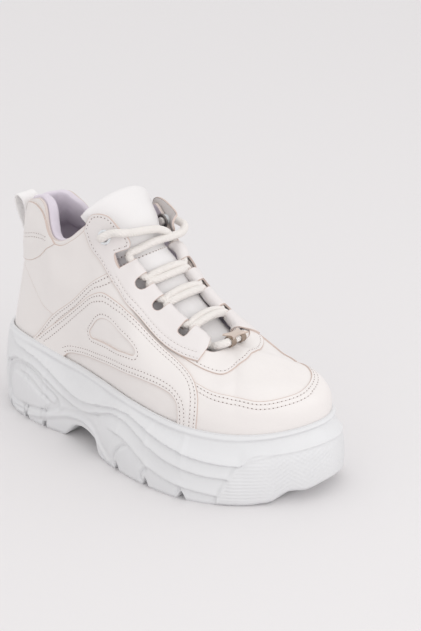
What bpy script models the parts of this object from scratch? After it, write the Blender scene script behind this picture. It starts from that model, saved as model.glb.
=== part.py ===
"""White chunky-soled lace-up sneaker boot, right shoe. Run with blender --background --python part.py

Frame: metres, +X towards the toe, +Z up, lateral side at -Y, standing on Z = 0. The sizes and tables below are
in millimetres, along X from the back of the sole and in Y from the middle line of the heel.
"""

import math
from collections import namedtuple

import bmesh
import bpy
import numpy as np
from mathutils import Matrix, Vector

MM = 0.001

# Driving sizes of the shoe, in millimetres
LENGTH = 281.0          # sole, from the back of the heel to the toe
BALL_WIDTH = 112.0      # sole, across the ball of the foot
WALL = 2.2              # upper, leather and lining together
GAP = 0.3               # between pieces that meet
RIM_WALL = 2.4          # the sole's rim around the upper
CUP_DEPTH = 7.0         # how far the upper sits down inside the rim
INSOLE_THICK = 4.0
INSOLE_BEVEL = 1.2
STAY_THICK = 1.4        # eyestays
STAY_GAP = 0.8          # between the eyestays and the upper, both of flat facets
TONGUE_THICK = 6.0
LACE_DIAMETER = 5.4
LACE_ROOM = 0.4         # between the lace and the fold around it
EYELET_HOLE = 6.2
EYELET_FLANGE = 9.8
EYELET_WALL = 0.8
EYELET_BEVEL = 0.5
EYELET_BORE = 14.0      # length of the hole cut for it
EYELET_STEPS = 14
EYELET_FACE = STAY_GAP + STAY_THICK + 2 * GAP   # the flange's seat above the upper
CHARM_THICK = 1.6
SIDE_SHIFT = -2.3       # y of the middle of the shoe's box, which the part's origin lies under
HEART = (110.0, 5.0, 70.0)      # a point inside the shoe, which open surfaces face away from
LOOP_WIDTH = 15.0       # heel pull loop
LOOP_THICK = 1.6

# Stations run round the shoe as seen from above: 0 at the back of the heel, along the lateral side to 11 at
# the toe tip, and back along the medial side to 22, which is 0 again.
TOE = 11.0
ROUND = 22.0
HEEL_STEPS = 12         # mesh columns of the upper from the heel to the eyestay, on each side
TOE_STEPS = 7           # and from the eyestay to the toe

# Sole. x is a share of LENGTH, y of BALL_WIDTH; inset is how far the rim lies inside the outline; rim_z is
# the rim's height.
Outline = namedtuple("Outline", "station x y inset rim_z")
OUTLINE = [Outline(*row) for row in (
    (0, 0.000, 0.010, 4.8, 58.0),
    (1, 0.034, -0.190, 4.8, 59.0),
    (2, 0.110, -0.327, 5.8, 61.0),
    (3, 0.220, -0.382, 8.0, 58.5),
    (4, 0.338, -0.378, 8.5, 53.0),
    (5, 0.445, -0.435, 9.0, 52.0),
    (6, 0.552, -0.500, 9.5, 51.0),
    (7, 0.669, -0.526, 9.5, 49.0),
    (8, 0.769, -0.496, 9.5, 47.4),
    (9, 0.868, -0.368, 8.5, 46.2),
    (10, 0.950, -0.158, 7.5, 47.5),
    (11, 1.000, 0.110, 6.5, 51.5),
    (12, 0.968, 0.345, 6.5, 50.5),
    (13, 0.893, 0.445, 7.0, 49.0),
    (14, 0.790, 0.482, 8.0, 49.0),
    (15, 0.676, 0.473, 8.5, 50.0),
    (16, 0.562, 0.410, 8.5, 52.0),
    (17, 0.452, 0.318, 8.0, 54.5),
    (18, 0.345, 0.282, 8.0, 57.0),
    (19, 0.225, 0.315, 8.0, 60.0),
    (20, 0.107, 0.312, 6.0, 61.5),
    (21, 0.034, 0.200, 4.8, 59.0),
)]

# Height of the tread's edge off the floor along the shoe: heel bevel, heel block, arch, forefoot block, toe
Tread = namedtuple("Tread", "x lift")
TREAD = [Tread(*row) for row in (
    (0.0, 2.0),
    (6.0, 1.0),
    (14.0, 0.0),
    (87.0, 0.0),
    (101.0, 11.5),
    (112.5, 14.2),
    (122.0, 13.0),
    (127.5, 10.0),
    (131.0, 2.0),
    (136.0, 0.0),
    (248.0, 0.0),
    (256.0, 1.0),
    (263.0, 3.0),
    (266.0, 6.5),
    (270.0, 8.5),
    (275.0, 7.7),
    (281.0, 11.0),
)]
HEEL_COLUMNS = 9        # mesh columns round the heel, on each side, and the same round the toe
BLOCK_STEP = 12.0       # longest step between the columns along the sides
SIDES = (30.0, 238.0)   # the stretch of x in which both sides have their columns at the same x

# Side of the sole from the tread up to the rim. height is a share of the way from the tread's edge to the rim,
# out is a share of the rim's inset, and step is a further inset in millimetres.
SideLevel = namedtuple("SideLevel", "height out step")
SIDE_LEVELS = [SideLevel(*row) for row in (
    (0.00, 0.00, 1.4),
    (0.05, 0.00, 0.2),
    (0.50, 0.02, 0.0),
    (0.70, 0.18, 0.4),
    (0.88, 0.60, 0.0),
    (1.00, 1.00, 0.6),
)]

# Grooves across the tread: x at the middle line, share of turn towards the toe on the lateral side, width.
Groove = namedtuple("Groove", "x slant width")
GROOVE_DEPTH = 3.6
GROOVE_LENGTH = 160.0
GROOVES = [Groove(*row) for row in (
    (27.0, 0.0, 4.0),
    (50.0, 0.0, 4.0),
    (70.0, 0.0, 4.0),
    (154.0, 4.0, 4.5),
    (183.0, 6.0, 4.5),
    (212.0, 8.0, 4.5),
)]

# Upper. Each row is the top of a section: x, half is the distance from the middle line, z is the height and
# lean is the wall's lean inward there, in degrees. medial_x, medial_half and medial_z are added on that side.
Top = namedtuple("Top", "station x half z lean medial_x medial_half medial_z")
TOP = [Top(*row) for row in (
    (0.0, 22.0, 0.0, 148.5, 3.0, 0.0, 0.0, 0.0),
    (0.6, 25.0, 7.5, 149.5, 3.0, 0.0, 0.0, 0.0),
    (1.3, 34.0, 13.5, 153.5, 4.0, -1.0, 0.0, -1.0),
    (2.0, 46.0, 17.5, 157.5, 5.0, -4.0, -0.5, -4.0),
    (2.5, 56.0, 22.5, 154.5, 6.0, -6.0, -2.5, -6.0),
    (2.75, 62.0, 27.0, 146.0, 8.0, -6.0, -3.0, -5.0),
    (3.0, 68.0, 30.5, 138.5, 10.0, -4.0, -2.0, -3.0),
    (3.35, 77.0, 33.0, 135.0, 11.0, 0.0, 0.0, 0.0),
    (3.8, 91.0, 33.5, 142.0, 10.0, -1.0, 1.0, -2.0),
    (4.15, 101.0, 32.0, 151.0, 9.0, -2.0, 2.0, -4.0),
    (4.4, 107.5, 30.4, 158.0, 9.0, -3.0, 2.5, -5.0),
    (4.65, 113.0, 29.4, 161.0, 10.0, -4.0, 2.8, -6.0),
    (4.9, 118.5, 29.0, 157.0, 12.0, -4.5, 2.8, -6.0),
    (5.15, 122.5, 29.2, 149.5, 17.0, -4.5, 2.8, -5.0),
    (5.5, 127.5, 29.2, 138.0, 28.0, -3.0, 1.4, -3.0),
    (5.8, 132.5, 28.6, 129.5, 37.0, -1.4, 0.5, -1.4),
    (6.1, 139.5, 27.9, 123.5, 45.0, 0.0, 0.0, 0.0),
    (6.6, 152.5, 26.8, 110.8, 47.0, 0.0, 0.0, 0.0),
    (7.05, 165.5, 26.0, 101.3, 47.0, 0.0, 0.0, 0.0),
    (7.55, 178.0, 25.0, 95.0, 49.0, 0.0, 0.0, 0.0),
    (7.95, 188.0, 24.0, 91.2, 52.0, 0.0, 0.0, 0.0),
    (8.3, 196.0, 22.0, 88.0, 56.0, 0.0, 0.0, 0.0),
    (8.6, 201.0, 17.0, 85.5, 62.0, 0.0, 0.0, 0.0),
    (8.82, 203.0, 9.5, 85.2, 72.0, 0.0, 0.0, 0.0),
    (9.0, 203.5, 0.0, 85.5, 79.0, 0.0, 0.0, 0.0),
)]
THROAT_BASE = 9.0       # station where the two sides meet on the vamp's ridge
# Ridge of the vamp, from the throat's base to the point above the toe where the sections fan out
Ridge = namedtuple("Ridge", "share x z")
RIDGE = [Ridge(*row) for row in (
    (0.0, 203.5, 85.5),
    (0.3, 216.0, 83.8),
    (0.65, 230.0, 80.6),
    (1.0, 242.0, 76.5),
)]
# Lean of the wall just above the rim, outward from upright, and how full the sections are
Foot = namedtuple("Foot", "station lean low_pull high_pull")
FOOT = [Foot(*row) for row in (
    (0.0, -12.0, 0.33, 0.33),
    (2.0, -8.0, 0.33, 0.33),
    (4.0, -1.0, 0.36, 0.36),
    (6.0, 4.0, 0.40, 0.36),
    (8.0, 6.0, 0.42, 0.38),
    (10.0, 4.0, 0.46, 0.46),
    (11.0, 2.0, 0.48, 0.48),
)]
RISES = (-1.0, 0.0, 0.14, 0.30, 0.46, 0.62, 0.76, 0.90, 1.0)

# Tongue, from under the vamp to the top: its middle line, half width and the drop of its edges
TongueRow = namedtuple("TongueRow", "along x z half sag")
TONGUE = [TongueRow(*row) for row in (
    (0.00, 221.0, 73.0, 16.0, 5.0),
    (0.10, 209.0, 77.0, 19.0, 8.0),
    (0.20, 195.5, 84.0, 21.5, 11.0),
    (0.31, 180.5, 93.0, 23.5, 14.0),
    (0.43, 165.5, 103.5, 25.0, 16.5),
    (0.55, 150.5, 117.5, 26.0, 17.0),
    (0.66, 139.3, 131.2, 25.6, 16.8),
    (0.76, 130.9, 143.7, 25.4, 14.8),
    (0.85, 124.0, 156.5, 26.0, 12.5),
    (0.93, 115.5, 167.0, 28.0, 12.5),
    (1.00, 106.5, 175.0, 29.0, 13.5),
)]
TONGUE_CORNER = 0.04    # share of the length by which the top corners lie lower
TONGUE_ACROSS = 8
TONGUE_ALONG = 16

# Eyestay, one on each side. rise is its outer edge on the upper's sections, and reach is how far it runs on past
# the upper's top edge: to the tab's free edge, or to where the loops fold under.
Stay = namedtuple("Stay", "station rise reach")
STAY = [Stay(*row) for row in (
    (4.3, 0.985, 0.8),
    (4.45, 0.830, 1.5),
    (4.65, 0.750, 3.0),
    (4.9, 0.730, 6.5),
    (5.15, 0.735, 10.5),
    (5.4, 0.750, 11.0),
    (5.7, 0.765, 7.5),
    (6.1, 0.763, 7.5),
    (6.5, 0.758, 7.5),
    (7.0, 0.755, 7.5),
    (7.7, 0.775, 7.5),
    (8.4, 0.840, 7.5),
)]
# Stretches of stations: the tab, then the four loops down to the throat's base, with a slot between each two
Stretch = namedtuple("Stretch", "first last columns")
TAB = Stretch(4.3, 5.42, 5)
LOOPS = [Stretch(*row) for row in (
    (5.74, 6.14, 3),
    (6.38, 6.66, 2),
    (6.88, 7.47, 3),
    (7.76, 8.38, 3),
)]
STAY_ROWS = (0.0, 0.58) # shares of its width at which the eyestay has mesh rows, as the upper has
SLOT_FLOOR = 1.0        # how far past the upper's edge the slots begin
FOLD_TURN = 215.0       # degrees through which a loop folds round the lace
FOLD_STEPS = 5
EYELET_STATION = 4.95   # on the tab
EYELET_RISE = 0.95

# Lace
LACE_ARCH = 4.4         # rise of the crossings over the tongue's middle
LACE_PAIR = 2.5         # half the distance between the two strands of a crossing, at the middle
LACE_ENDS = 0.2         # and at its ends, between the loops
LACE_STEPS = 9          # points along a crossing
LACE_STEP = 4.2         # longest step along the other strands, and along the bent bar
BAR_STEP = 2.5
# From the lateral eyelet to the medial side's first slot, and from the medial eyelet to the lateral side's
TOP_ROUTE_LATERAL = ((128.8, -27.6, 155.7), (133.7, -24.3, 156.0), (135.4, -16.4, 154.6), (135.0, 0.0, 151.8),
                     (135.0, 10.0, 149.5), (134.5, 17.0, 146.0), (132.5, 22.5, 142.0))
TOP_ROUTE_MEDIAL = ((119.5, 45.0, 143.0), (129.0, 42.0, 142.5), (134.5, 34.0, 141.0), (136.0, 23.0, 141.5),
                    (136.0, 12.0, 142.3), (135.8, 0.0, 142.3), (134.2, -8.0, 140.5))
BAR_ROWS = (-1.0, -0.6, 0.0, 0.6, 1.0)      # points of the route on the bar's straight stretch
BAR_OUT = 3.3           # how far the bottom bar's ends stand clear of the last loops
BAR_BEND = 4.6          # radius of its two bends
BAR_TURNS = (70.0, 35.0)        # degrees round each bend at which the route has a point
BAR_FALL = 0.4          # slope of the bends towards the loops
BAR_MIDDLE = (204.5, 90.2)      # x and z of the bottom bar under the charm
CHARM_SIZE = (9.5, 15.0)        # across the lace and along it
CHARM_WAIST = 1.4               # how far its sides curve in
CHARM_STEPS = 6
SLEEVE_LENGTH = 3.5
SLEEVE_WALL = 0.9

# Collar lining, a padded roll inside the collar: where it starts on the sections, how thick it is and how far it
# stands above the upper's edge
Lining = namedtuple("Lining", "station start thick above")
LINING = [Lining(*row) for row in (
    (0.0, 0.70, 7.5, 4.5),
    (1.3, 0.72, 7.5, 3.0),
    (2.2, 0.74, 7.5, 2.0),
    (2.9, 0.76, 7.0, 2.0),
    (3.4, 0.80, 5.5, 1.5),
    (4.0, 0.88, 2.6, 0.5),
)]
# The roll's section: how deep a point lies in the roll, and its place above the edge or up the inner side
Roll = namedtuple("Roll", "deep place")
LINING_CROWN = (Roll(0.12, 0.75), Roll(0.5, 1.0), Roll(0.88, 0.6))
LINING_INSIDE = (Roll(1.0, 0.85), Roll(0.92, 0.5), Roll(0.6, 0.2))

# Pull loop, seen from the side, as one closed run: how far its middle is behind the upper's back, and the height
Loop = namedtuple("Loop", "behind z")
PULL_LOOP = [Loop(*row) for row in (
    (1.3, 130.0),
    (1.3, 137.0),
    (2.1, 143.5),
    (5.0, 148.8),
    (9.0, 150.9),
    (12.2, 149.2),
    (12.2, 144.5),
    (10.1, 139.5),
    (7.2, 134.5),
    (4.5, 130.4),
    (2.8, 127.4),
)]
LOOP_MIDDLE = 2.0       # y of the pull loop's middle
LOOP_HEART = (15.0, 2.0, 142.5)         # a point inside it
HEEL_TOP = 148.0        # height up to which the heel's back face leans


def rows_to_array(rows, names):
    return np.array([[getattr(row, name) for name in names] for row in rows], float)


class Track:
    """A smooth run of values through the rows of a table, by its first column."""

    def __init__(self, keys, values, limited=False):
        self.keys = np.asarray(keys, float)
        self.values = np.asarray(values, float)
        steps = np.diff(self.keys)[:, None]
        secants = np.diff(self.values, axis=0) / steps
        slopes = np.empty_like(self.values)
        slopes[0], slopes[-1] = secants[0], secants[-1]
        slopes[1:-1] = (secants[:-1] * steps[1:] + secants[1:] * steps[:-1]) / (steps[:-1] + steps[1:])
        if limited:
            turning = secants[:-1] * secants[1:] <= 0.0
            least = np.minimum(np.abs(secants[:-1]), np.abs(secants[1:])) * 3.0
            slopes[1:-1] = np.where(turning, 0.0, np.clip(slopes[1:-1], -least, least))
        self.slopes = slopes

    def __call__(self, key):
        i = int(np.clip(np.searchsorted(self.keys, key, side="right") - 1, 0, len(self.keys) - 2))
        step = self.keys[i + 1] - self.keys[i]
        t = (key - self.keys[i]) / step
        near = self.values[i] * (1 + 2 * t) * (1 - t) ** 2 + self.slopes[i] * step * t * (1 - t) ** 2
        far = self.values[i + 1] * t * t * (3 - 2 * t) + self.slopes[i + 1] * step * t * t * (t - 1)
        return near + far


def closed_track(rows, names):
    """A track that runs on past the back of the heel in both directions."""
    keys = [row.station for row in rows]
    values = rows_to_array(rows, names)
    laps = [np.add(keys, lap * ROUND) for lap in (-1, 0, 1)]
    return Track(np.concatenate(laps), np.concatenate([values] * 3))


def mirrored_track(rows, names, limited=False):
    """A track for values that are the same on both sides of the shoe."""
    return Track([row.station for row in rows], rows_to_array(rows, names), limited)


def carried_over_track(rows, names, odd):
    """A track like that, which runs on smoothly over the back and front middle line, where one value turns."""
    keys = [row.station for row in rows]
    values = rows_to_array(rows, names)
    turned = values * [-1.0 if name == odd else 1.0 for name in names]
    keys = [2 * keys[0] - keys[1], *keys, 2 * keys[-1] - keys[-2]]
    return Track(keys, np.concatenate([turned[1:2], values, turned[-2:-1]]), limited=True)


OUTLINE_TRACK = closed_track(OUTLINE, ("x", "y", "inset", "rim_z"))
TREAD_TRACK = Track([row.x for row in TREAD], rows_to_array(TREAD, ("lift",)), limited=True)
TOP_TRACK = carried_over_track(TOP, Top._fields[1:], "half")
FOOT_TRACK = mirrored_track(FOOT, ("lean", "low_pull", "high_pull"), limited=True)
RIDGE_TRACK = Track([row.share for row in RIDGE], rows_to_array(RIDGE, ("x", "z")))
STAY_TRACK = mirrored_track(STAY, ("rise", "reach"), limited=True)
LINING_TRACK = mirrored_track(LINING, ("start", "thick", "above"), limited=True)
TONGUE_TRACK = Track([row.along for row in TONGUE], rows_to_array(TONGUE, ("x", "z", "half", "sag")))


def unit(vector):
    return vector / np.linalg.norm(vector)


def middle_line(x):
    """The shoe's middle line swings towards the medial side from heel to toe."""
    return 1.3 + 0.0316 * x


def fold_station(station):
    """The lateral station with the same table row, and the side: -1 lateral, +1 medial."""
    station = station % ROUND
    if station <= TOE:
        return station, -1.0
    return ROUND - station, 1.0


def outline_point(station, inset=0.0):
    """A point of the sole's outline in plan, moved inward by the inset, and the outward direction there."""
    shares = OUTLINE_TRACK(station)
    ahead, behind = OUTLINE_TRACK(station + 0.02), OUTLINE_TRACK(station - 0.02)
    scale = np.array([LENGTH, BALL_WIDTH])
    along = unit((ahead[:2] - behind[:2]) * scale)
    outward = np.array([along[1], -along[0]])
    return shares[:2] * scale - outward * inset, outward


def rim_values(station):
    """Rim inset and rim height."""
    return OUTLINE_TRACK(station)[2:4]


def wall_foot(station):
    """Where the upper's outer face meets the rim, with the outward direction."""
    inset, rim_z = rim_values(station)
    plan, outward = outline_point(station, inset + RIM_WALL + 1.5 * GAP)
    return np.array([plan[0], plan[1], rim_z]), np.array([outward[0], outward[1], 0.0])


def top_edge(near, side):
    """A point of the upper's top edge, with y from the middle line towards the side named."""
    x, half, z, _, medial_x, medial_half, medial_z = TOP_TRACK(near)
    medial = max(side, 0.0)
    return np.array([x + medial * medial_x, half + medial * medial_half, z + medial * medial_z])


def wall_top(station):
    """Top of the upper's section and the direction in which the wall arrives there."""
    near, side = fold_station(station)
    foot, _ = wall_foot(station)
    up = np.array([0.0, 0.0, 1.0])
    if near < THROAT_BASE:
        edge = top_edge(near, side)
        top = np.array([edge[0], middle_line(edge[0]) + side * edge[1], edge[2]])
        run = unit((top_edge(near + 0.03, side) - top_edge(near - 0.03, side)) * (1.0, side, 1.0))
        across = -side * unit(np.array([-run[1], run[0], 0.0]))
        upright = unit(up - run * run[2])
        lean = math.radians(TOP_TRACK(near)[3])
        arrival = math.sin(lean) * across + math.cos(lean) * upright
        reach = unit(top - foot)
        return top, unit(arrival * max(reach @ arrival, 0.3) + run * (reach @ run))
    share = (near - THROAT_BASE) / (TOE - THROAT_BASE)
    x, z = RIDGE_TRACK(share)
    ahead, behind = RIDGE_TRACK(min(share + 0.02, 1.0)), RIDGE_TRACK(max(share - 0.02, 0.0))
    slope = (ahead[1] - behind[1]) / (ahead[0] - behind[0])
    top = np.array([x, middle_line(x), z])
    inward = unit(np.append(top[:2] - foot[:2], 0.0))
    return top, unit(inward + np.array([0.0, 0.0, inward[0] * slope]))


def upper_point(station, rise):
    """Outer face of the upper. rise is -1 at its foot in the sole's cup, 0 at the rim and 1 at the top."""
    foot, outward = wall_foot(station)
    if rise <= 0.0:
        return foot + np.array([0.0, 0.0, rise * (CUP_DEPTH - 2 * GAP)])
    top, arrival = wall_top(station)
    near, _ = fold_station(station)
    lean, low_pull, high_pull = FOOT_TRACK(near)
    lean = math.radians(lean)
    leave = math.sin(lean) * outward + np.array([0.0, 0.0, math.cos(lean)])
    reach = np.linalg.norm(top - foot)
    low = foot + leave * reach * low_pull
    high = top - arrival * reach * high_pull
    t = rise
    return (foot * (1 - t) ** 3 + low * 3 * t * (1 - t) ** 2 + high * 3 * t * t * (1 - t) + top * t ** 3)


def upper_frame(station, rise, step=0.02):
    """Point, direction along the stations, direction up the wall and outward normal."""
    point = upper_point(station, rise)
    along = upper_point(station + step, rise) - upper_point(station - step, rise)
    if 0.0 < rise:
        climb = upper_point(station, min(rise + step, 1.0)) - upper_point(station, max(rise - step, 0.001))
    else:
        climb = np.array([0.0, 0.0, 1.0])
    normal = unit(np.cross(unit(climb), unit(along)))
    return point, unit(along), unit(climb), -normal


def upper_offset(station, rise, out):
    point, _, _, normal = upper_frame(station, rise)
    return point + normal * out


def stretch_stations(stretch):
    return np.linspace(stretch.first, stretch.last, stretch.columns + 1)


def side_stations():
    """The upper's mesh columns from heel to toe: at the eyestay they are the eyestay's own."""
    heel = np.linspace(0.0, TAB.first, HEEL_STEPS, endpoint=False)
    toe = np.linspace(LOOPS[-1].last, TOE, TOE_STEPS + 1)[1:]
    stay = [stretch_stations(stretch) for stretch in (TAB, *LOOPS)]
    slots = [slot_middle(number) for number in range(len(LOOPS))]
    return np.sort(np.concatenate([heel, *stay, slots, toe]))


def round_stations():
    half = side_stations()
    return np.concatenate([half, ROUND - half[-2:0:-1]])


# ---------------------------------------------------------------- Blender helpers

def new_collection(name, shown=True):
    collection = bpy.data.collections.new(name)
    bpy.context.scene.collection.children.link(collection)
    collection.hide_render = not shown
    return collection


def make_material(name, color, roughness, metallic=0.0):
    material = bpy.data.materials.new(name)
    material.use_nodes = True
    shader = material.node_tree.nodes["Principled BSDF"]
    shader.inputs["Base Color"].default_value = (*color, 1.0)
    shader.inputs["Roughness"].default_value = roughness
    shader.inputs["Metallic"].default_value = metallic
    material.diffuse_color = (*color, 1.0)
    return material


def to_metres(point):
    return Vector(((point[0] - LENGTH / 2) * MM, (point[1] - SIDE_SHIFT) * MM, point[2] * MM))


def face_out(bm, inside=None):
    """Turns the faces of a closed mesh outward, or those of an open one away from the point called inside."""
    bmesh.ops.recalc_face_normals(bm, faces=bm.faces)
    heart = to_metres(inside) if inside else sum((vert.co for vert in bm.verts), Vector()) / len(bm.verts)
    flow = sum(face.normal.dot(face.calc_center_median() - heart) * face.calc_area() for face in bm.faces)
    if flow < 0.0:
        bmesh.ops.reverse_faces(bm, faces=bm.faces[:])


def finish_object(name, bm, collection, material, inside=None):
    """Makes the object. An open surface faces away from the point called inside."""
    bmesh.ops.remove_doubles(bm, verts=bm.verts, dist=0.00002)
    face_out(bm, inside)
    mesh = bpy.data.meshes.new(name)
    bm.to_mesh(mesh)
    bm.free()
    mesh.shade_smooth()
    mesh.set_sharp_from_angle(angle=math.radians(40))
    obj = bpy.data.objects.new(name, mesh)
    mesh.materials.append(material)
    collection.objects.link(obj)
    return obj


def add_ring(bm, points):
    return [bm.verts.new(to_metres(point)) for point in points]


def add_strip(bm, ring_a, ring_b, closed):
    """Faces between two rows of vertices."""
    count = len(ring_a)
    for i in range(count if closed else count - 1):
        j = (i + 1) % count
        bm.faces.new((ring_a[i], ring_a[j], ring_b[j], ring_b[i]))


def add_ladder(bm, ring, rungs=3):
    """Closes a ring that runs heel, lateral side, toe, medial side with rungs from side to side."""
    half = len(ring) // 2
    rows = [[ring[0]]]
    for i in range(1, half):
        lateral, medial = ring[i].co, ring[-i].co
        inner = [bm.verts.new(lateral.lerp(medial, k / rungs)) for k in range(1, rungs)]
        rows.append([ring[i], *inner, ring[-i]])
    rows.append([ring[half]])
    for row, following in zip(rows, rows[1:]):
        if len(row) == 1 or len(following) == 1:
            tip, run = (row[0], following) if len(row) == 1 else (following[0], row)
            for a, b in zip(run, run[1:]):
                bm.faces.new((tip, a, b))
        else:
            add_strip(bm, row, following, closed=False)


def grid_surface(points):
    """An open surface through rows of points."""
    bm = bmesh.new()
    rings = [add_ring(bm, row) for row in points]
    for ring_a, ring_b in zip(rings, rings[1:]):
        add_strip(bm, ring_a, ring_b, closed=False)
    return bm


def add_solidify(obj, thickness, offset):
    solid = obj.modifiers.new("Thickness", "SOLIDIFY")
    solid.thickness = thickness * MM
    solid.offset = offset
    return solid


# ---------------------------------------------------------------- pieces

def station_at(x, low, high):
    """The station between two others at which the outline reaches x."""
    rising = outline_point(low)[0][0] < outline_point(high)[0][0]
    for _ in range(30):
        middle = (low + high) / 2
        if (outline_point(middle)[0][0] < x) == rising:
            low = middle
        else:
            high = middle
    return (low + high) / 2


def sole_stations():
    """Columns of the sole: even round the heel and toe, and at the tread's own places along the sides."""
    marks = sorted({*np.linspace(*SIDES, 2 + int((SIDES[1] - SIDES[0]) / BLOCK_STEP)),
                    *(row.x for row in TREAD if SIDES[0] < row.x < SIDES[1])})
    lateral = [station_at(x, 1.0, 10.0) for x in marks]
    medial = [station_at(x, ROUND - 1.0, TOE + 1.0) for x in marks]
    heel_l = np.linspace(0.0, lateral[0], HEEL_COLUMNS, endpoint=False)
    toe_l = np.linspace(lateral[-1], TOE, HEEL_COLUMNS + 1)[1:]
    toe_m = np.linspace(TOE, medial[-1], HEEL_COLUMNS + 1)[1:-1]
    heel_m = np.linspace(medial[0], ROUND, HEEL_COLUMNS, endpoint=False)
    return np.concatenate([heel_l, lateral, toe_l, toe_m, medial[::-1], heel_m[1:]])


def sole_level(level):
    points = []
    for station in sole_stations():
        inset, rim_z = rim_values(station)
        plan, _ = outline_point(station, level.out * inset + level.step)
        lift = TREAD_TRACK(plan[0])[0]
        points.append((plan[0], plan[1], lift + level.height * (rim_z - lift)))
    return points


def cup_level(stations, inset_more, drop):
    points = []
    for station in stations:
        inset, rim_z = rim_values(station)
        plan, _ = outline_point(station, inset + inset_more)
        points.append((plan[0], plan[1], rim_z - drop))
    return points


def make_sole(collection, cutters, material):
    bm = bmesh.new()
    rings = [add_ring(bm, sole_level(level)) for level in SIDE_LEVELS]
    rings.append(add_ring(bm, cup_level(sole_stations(), RIM_WALL, 0.0)))
    rings.append(add_ring(bm, cup_level(sole_stations(), RIM_WALL, CUP_DEPTH)))
    for ring_a, ring_b in zip(rings, rings[1:]):
        add_strip(bm, ring_a, ring_b, closed=True)
    add_ladder(bm, rings[0])
    add_ladder(bm, rings[-1])
    sole = finish_object("sole", bm, collection, material)
    add_boolean(sole, make_groove_cutter(cutters), "DIFFERENCE")
    return sole


def make_groove_cutter(cutters):
    bm = bmesh.new()
    for row in GROOVES:
        size = Vector((row.width * MM, GROOVE_LENGTH * MM, GROOVE_DEPTH * 2 * MM))
        turn = Matrix.Rotation(math.radians(row.slant), 4, "Z")
        place = Matrix.Translation(to_metres((row.x, 0.0, 0.0))) @ turn @ Matrix.Diagonal((*size, 1.0))
        bmesh.ops.create_cube(bm, size=1.0, matrix=place)
    return hidden_cutter("groove_cutter", bm, cutters)


def make_upper(collection, material):
    stations = round_stations()
    bm = bmesh.new()
    rings = []
    for rise in RISES:
        rings.append(add_ring(bm, [upper_point(station, rise) for station in stations]))
    for ring_a, ring_b in zip(rings, rings[1:]):
        add_strip(bm, ring_a, ring_b, closed=True)
    upper = finish_object("upper", bm, collection, material, inside=HEART)
    add_solidify(upper, WALL, -1.0)
    return upper


def make_insole(collection, material):
    clear = RIM_WALL + GAP + WALL + 2 * GAP
    bm = bmesh.new()
    stations = sole_stations()
    seat = CUP_DEPTH - 2 * GAP
    low = add_ring(bm, cup_level(stations, clear, seat))
    middle = add_ring(bm, cup_level(stations, clear, seat - INSOLE_THICK + INSOLE_BEVEL))
    high = add_ring(bm, cup_level(stations, clear + INSOLE_BEVEL, seat - INSOLE_THICK))
    add_strip(bm, low, middle, closed=True)
    add_strip(bm, middle, high, closed=True)
    add_ladder(bm, low, rungs=1)
    add_ladder(bm, high, rungs=2)
    return finish_object("insole", bm, collection, material)


def tongue_point(along, across):
    """Front face of the tongue. across runs from -1 at its lateral edge to 1 at its medial edge."""
    place = along * (1.0 - TONGUE_CORNER * abs(across) ** 3)
    x, z, half, sag = TONGUE_TRACK(place)
    ahead, behind = TONGUE_TRACK(min(place + 0.02, 1.0)), TONGUE_TRACK(max(place - 0.02, 0.0))
    climb = unit(np.array([ahead[0] - behind[0], 0.0, ahead[1] - behind[1]]))
    front = np.array([climb[2], 0.0, -climb[0]])
    centre = np.array([x, middle_line(x) + half * across, z])
    return centre - front * sag * abs(across) ** 2


def make_tongue(collection, material):
    rows = []
    for along in np.linspace(0.0, 1.0, TONGUE_ALONG + 1):
        rows.append([tongue_point(along, across) for across in np.linspace(-1.0, 1.0, TONGUE_ACROSS + 1)])
    bm = grid_surface(rows)
    tongue = finish_object("tongue", bm, collection, material, inside=HEART)
    add_solidify(tongue, TONGUE_THICK, -1.0)
    return tongue


def on_side(near, side):
    """The station on the side named that has the same table rows as the lateral one."""
    return near if side < 0.0 else ROUND - near


def edge_frame(near, side):
    """Upper's top edge: point, direction on past the edge in the wall's plane, and outward normal."""
    station = on_side(near, side)
    point, along, _, normal = upper_frame(station, 1.0)
    onward = unit(np.cross(normal, along))
    if onward[2] < 0.0:
        onward = -onward
    return point, onward, normal


def stay_row(near, side):
    """Outer face of the stay on the upper, from its outer edge to just past the upper's own edge."""
    rise = STAY_TRACK(near)[0]
    off = STAY_GAP + STAY_THICK
    points = [upper_offset(on_side(near, side), rise + (1.0 - rise) * share, off) for share in STAY_ROWS]
    edge, onward, normal = edge_frame(near, side)
    points.append(edge + normal * off)
    points.append(edge + normal * off + onward * SLOT_FLOOR)
    return points


def fold_axis(near, side):
    """Where the lace runs inside a loop."""
    edge, onward, normal = edge_frame(near, side)
    outer = LACE_DIAMETER / 2 + LACE_ROOM + STAY_THICK
    return edge + normal * (STAY_GAP + STAY_THICK - outer) + onward * STAY_TRACK(near)[1], onward, normal, outer


def fold_row(near, side):
    """The loop from where it starts to fold to its tucked end."""
    axis, onward, normal, outer = fold_axis(near, side)
    turns = np.radians(np.linspace(0.0, FOLD_TURN, FOLD_STEPS + 1))
    return [axis + (normal * math.cos(turn) + onward * math.sin(turn)) * outer for turn in turns]


def tab_row(near, side):
    edge, onward, normal = edge_frame(near, side)
    reach = STAY_TRACK(near)[1]
    base = edge + normal * (STAY_GAP + STAY_THICK)
    return [base + onward * (SLOT_FLOOR + (reach - SLOT_FLOOR) * share) for share in (0.5, 1.0)]


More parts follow.
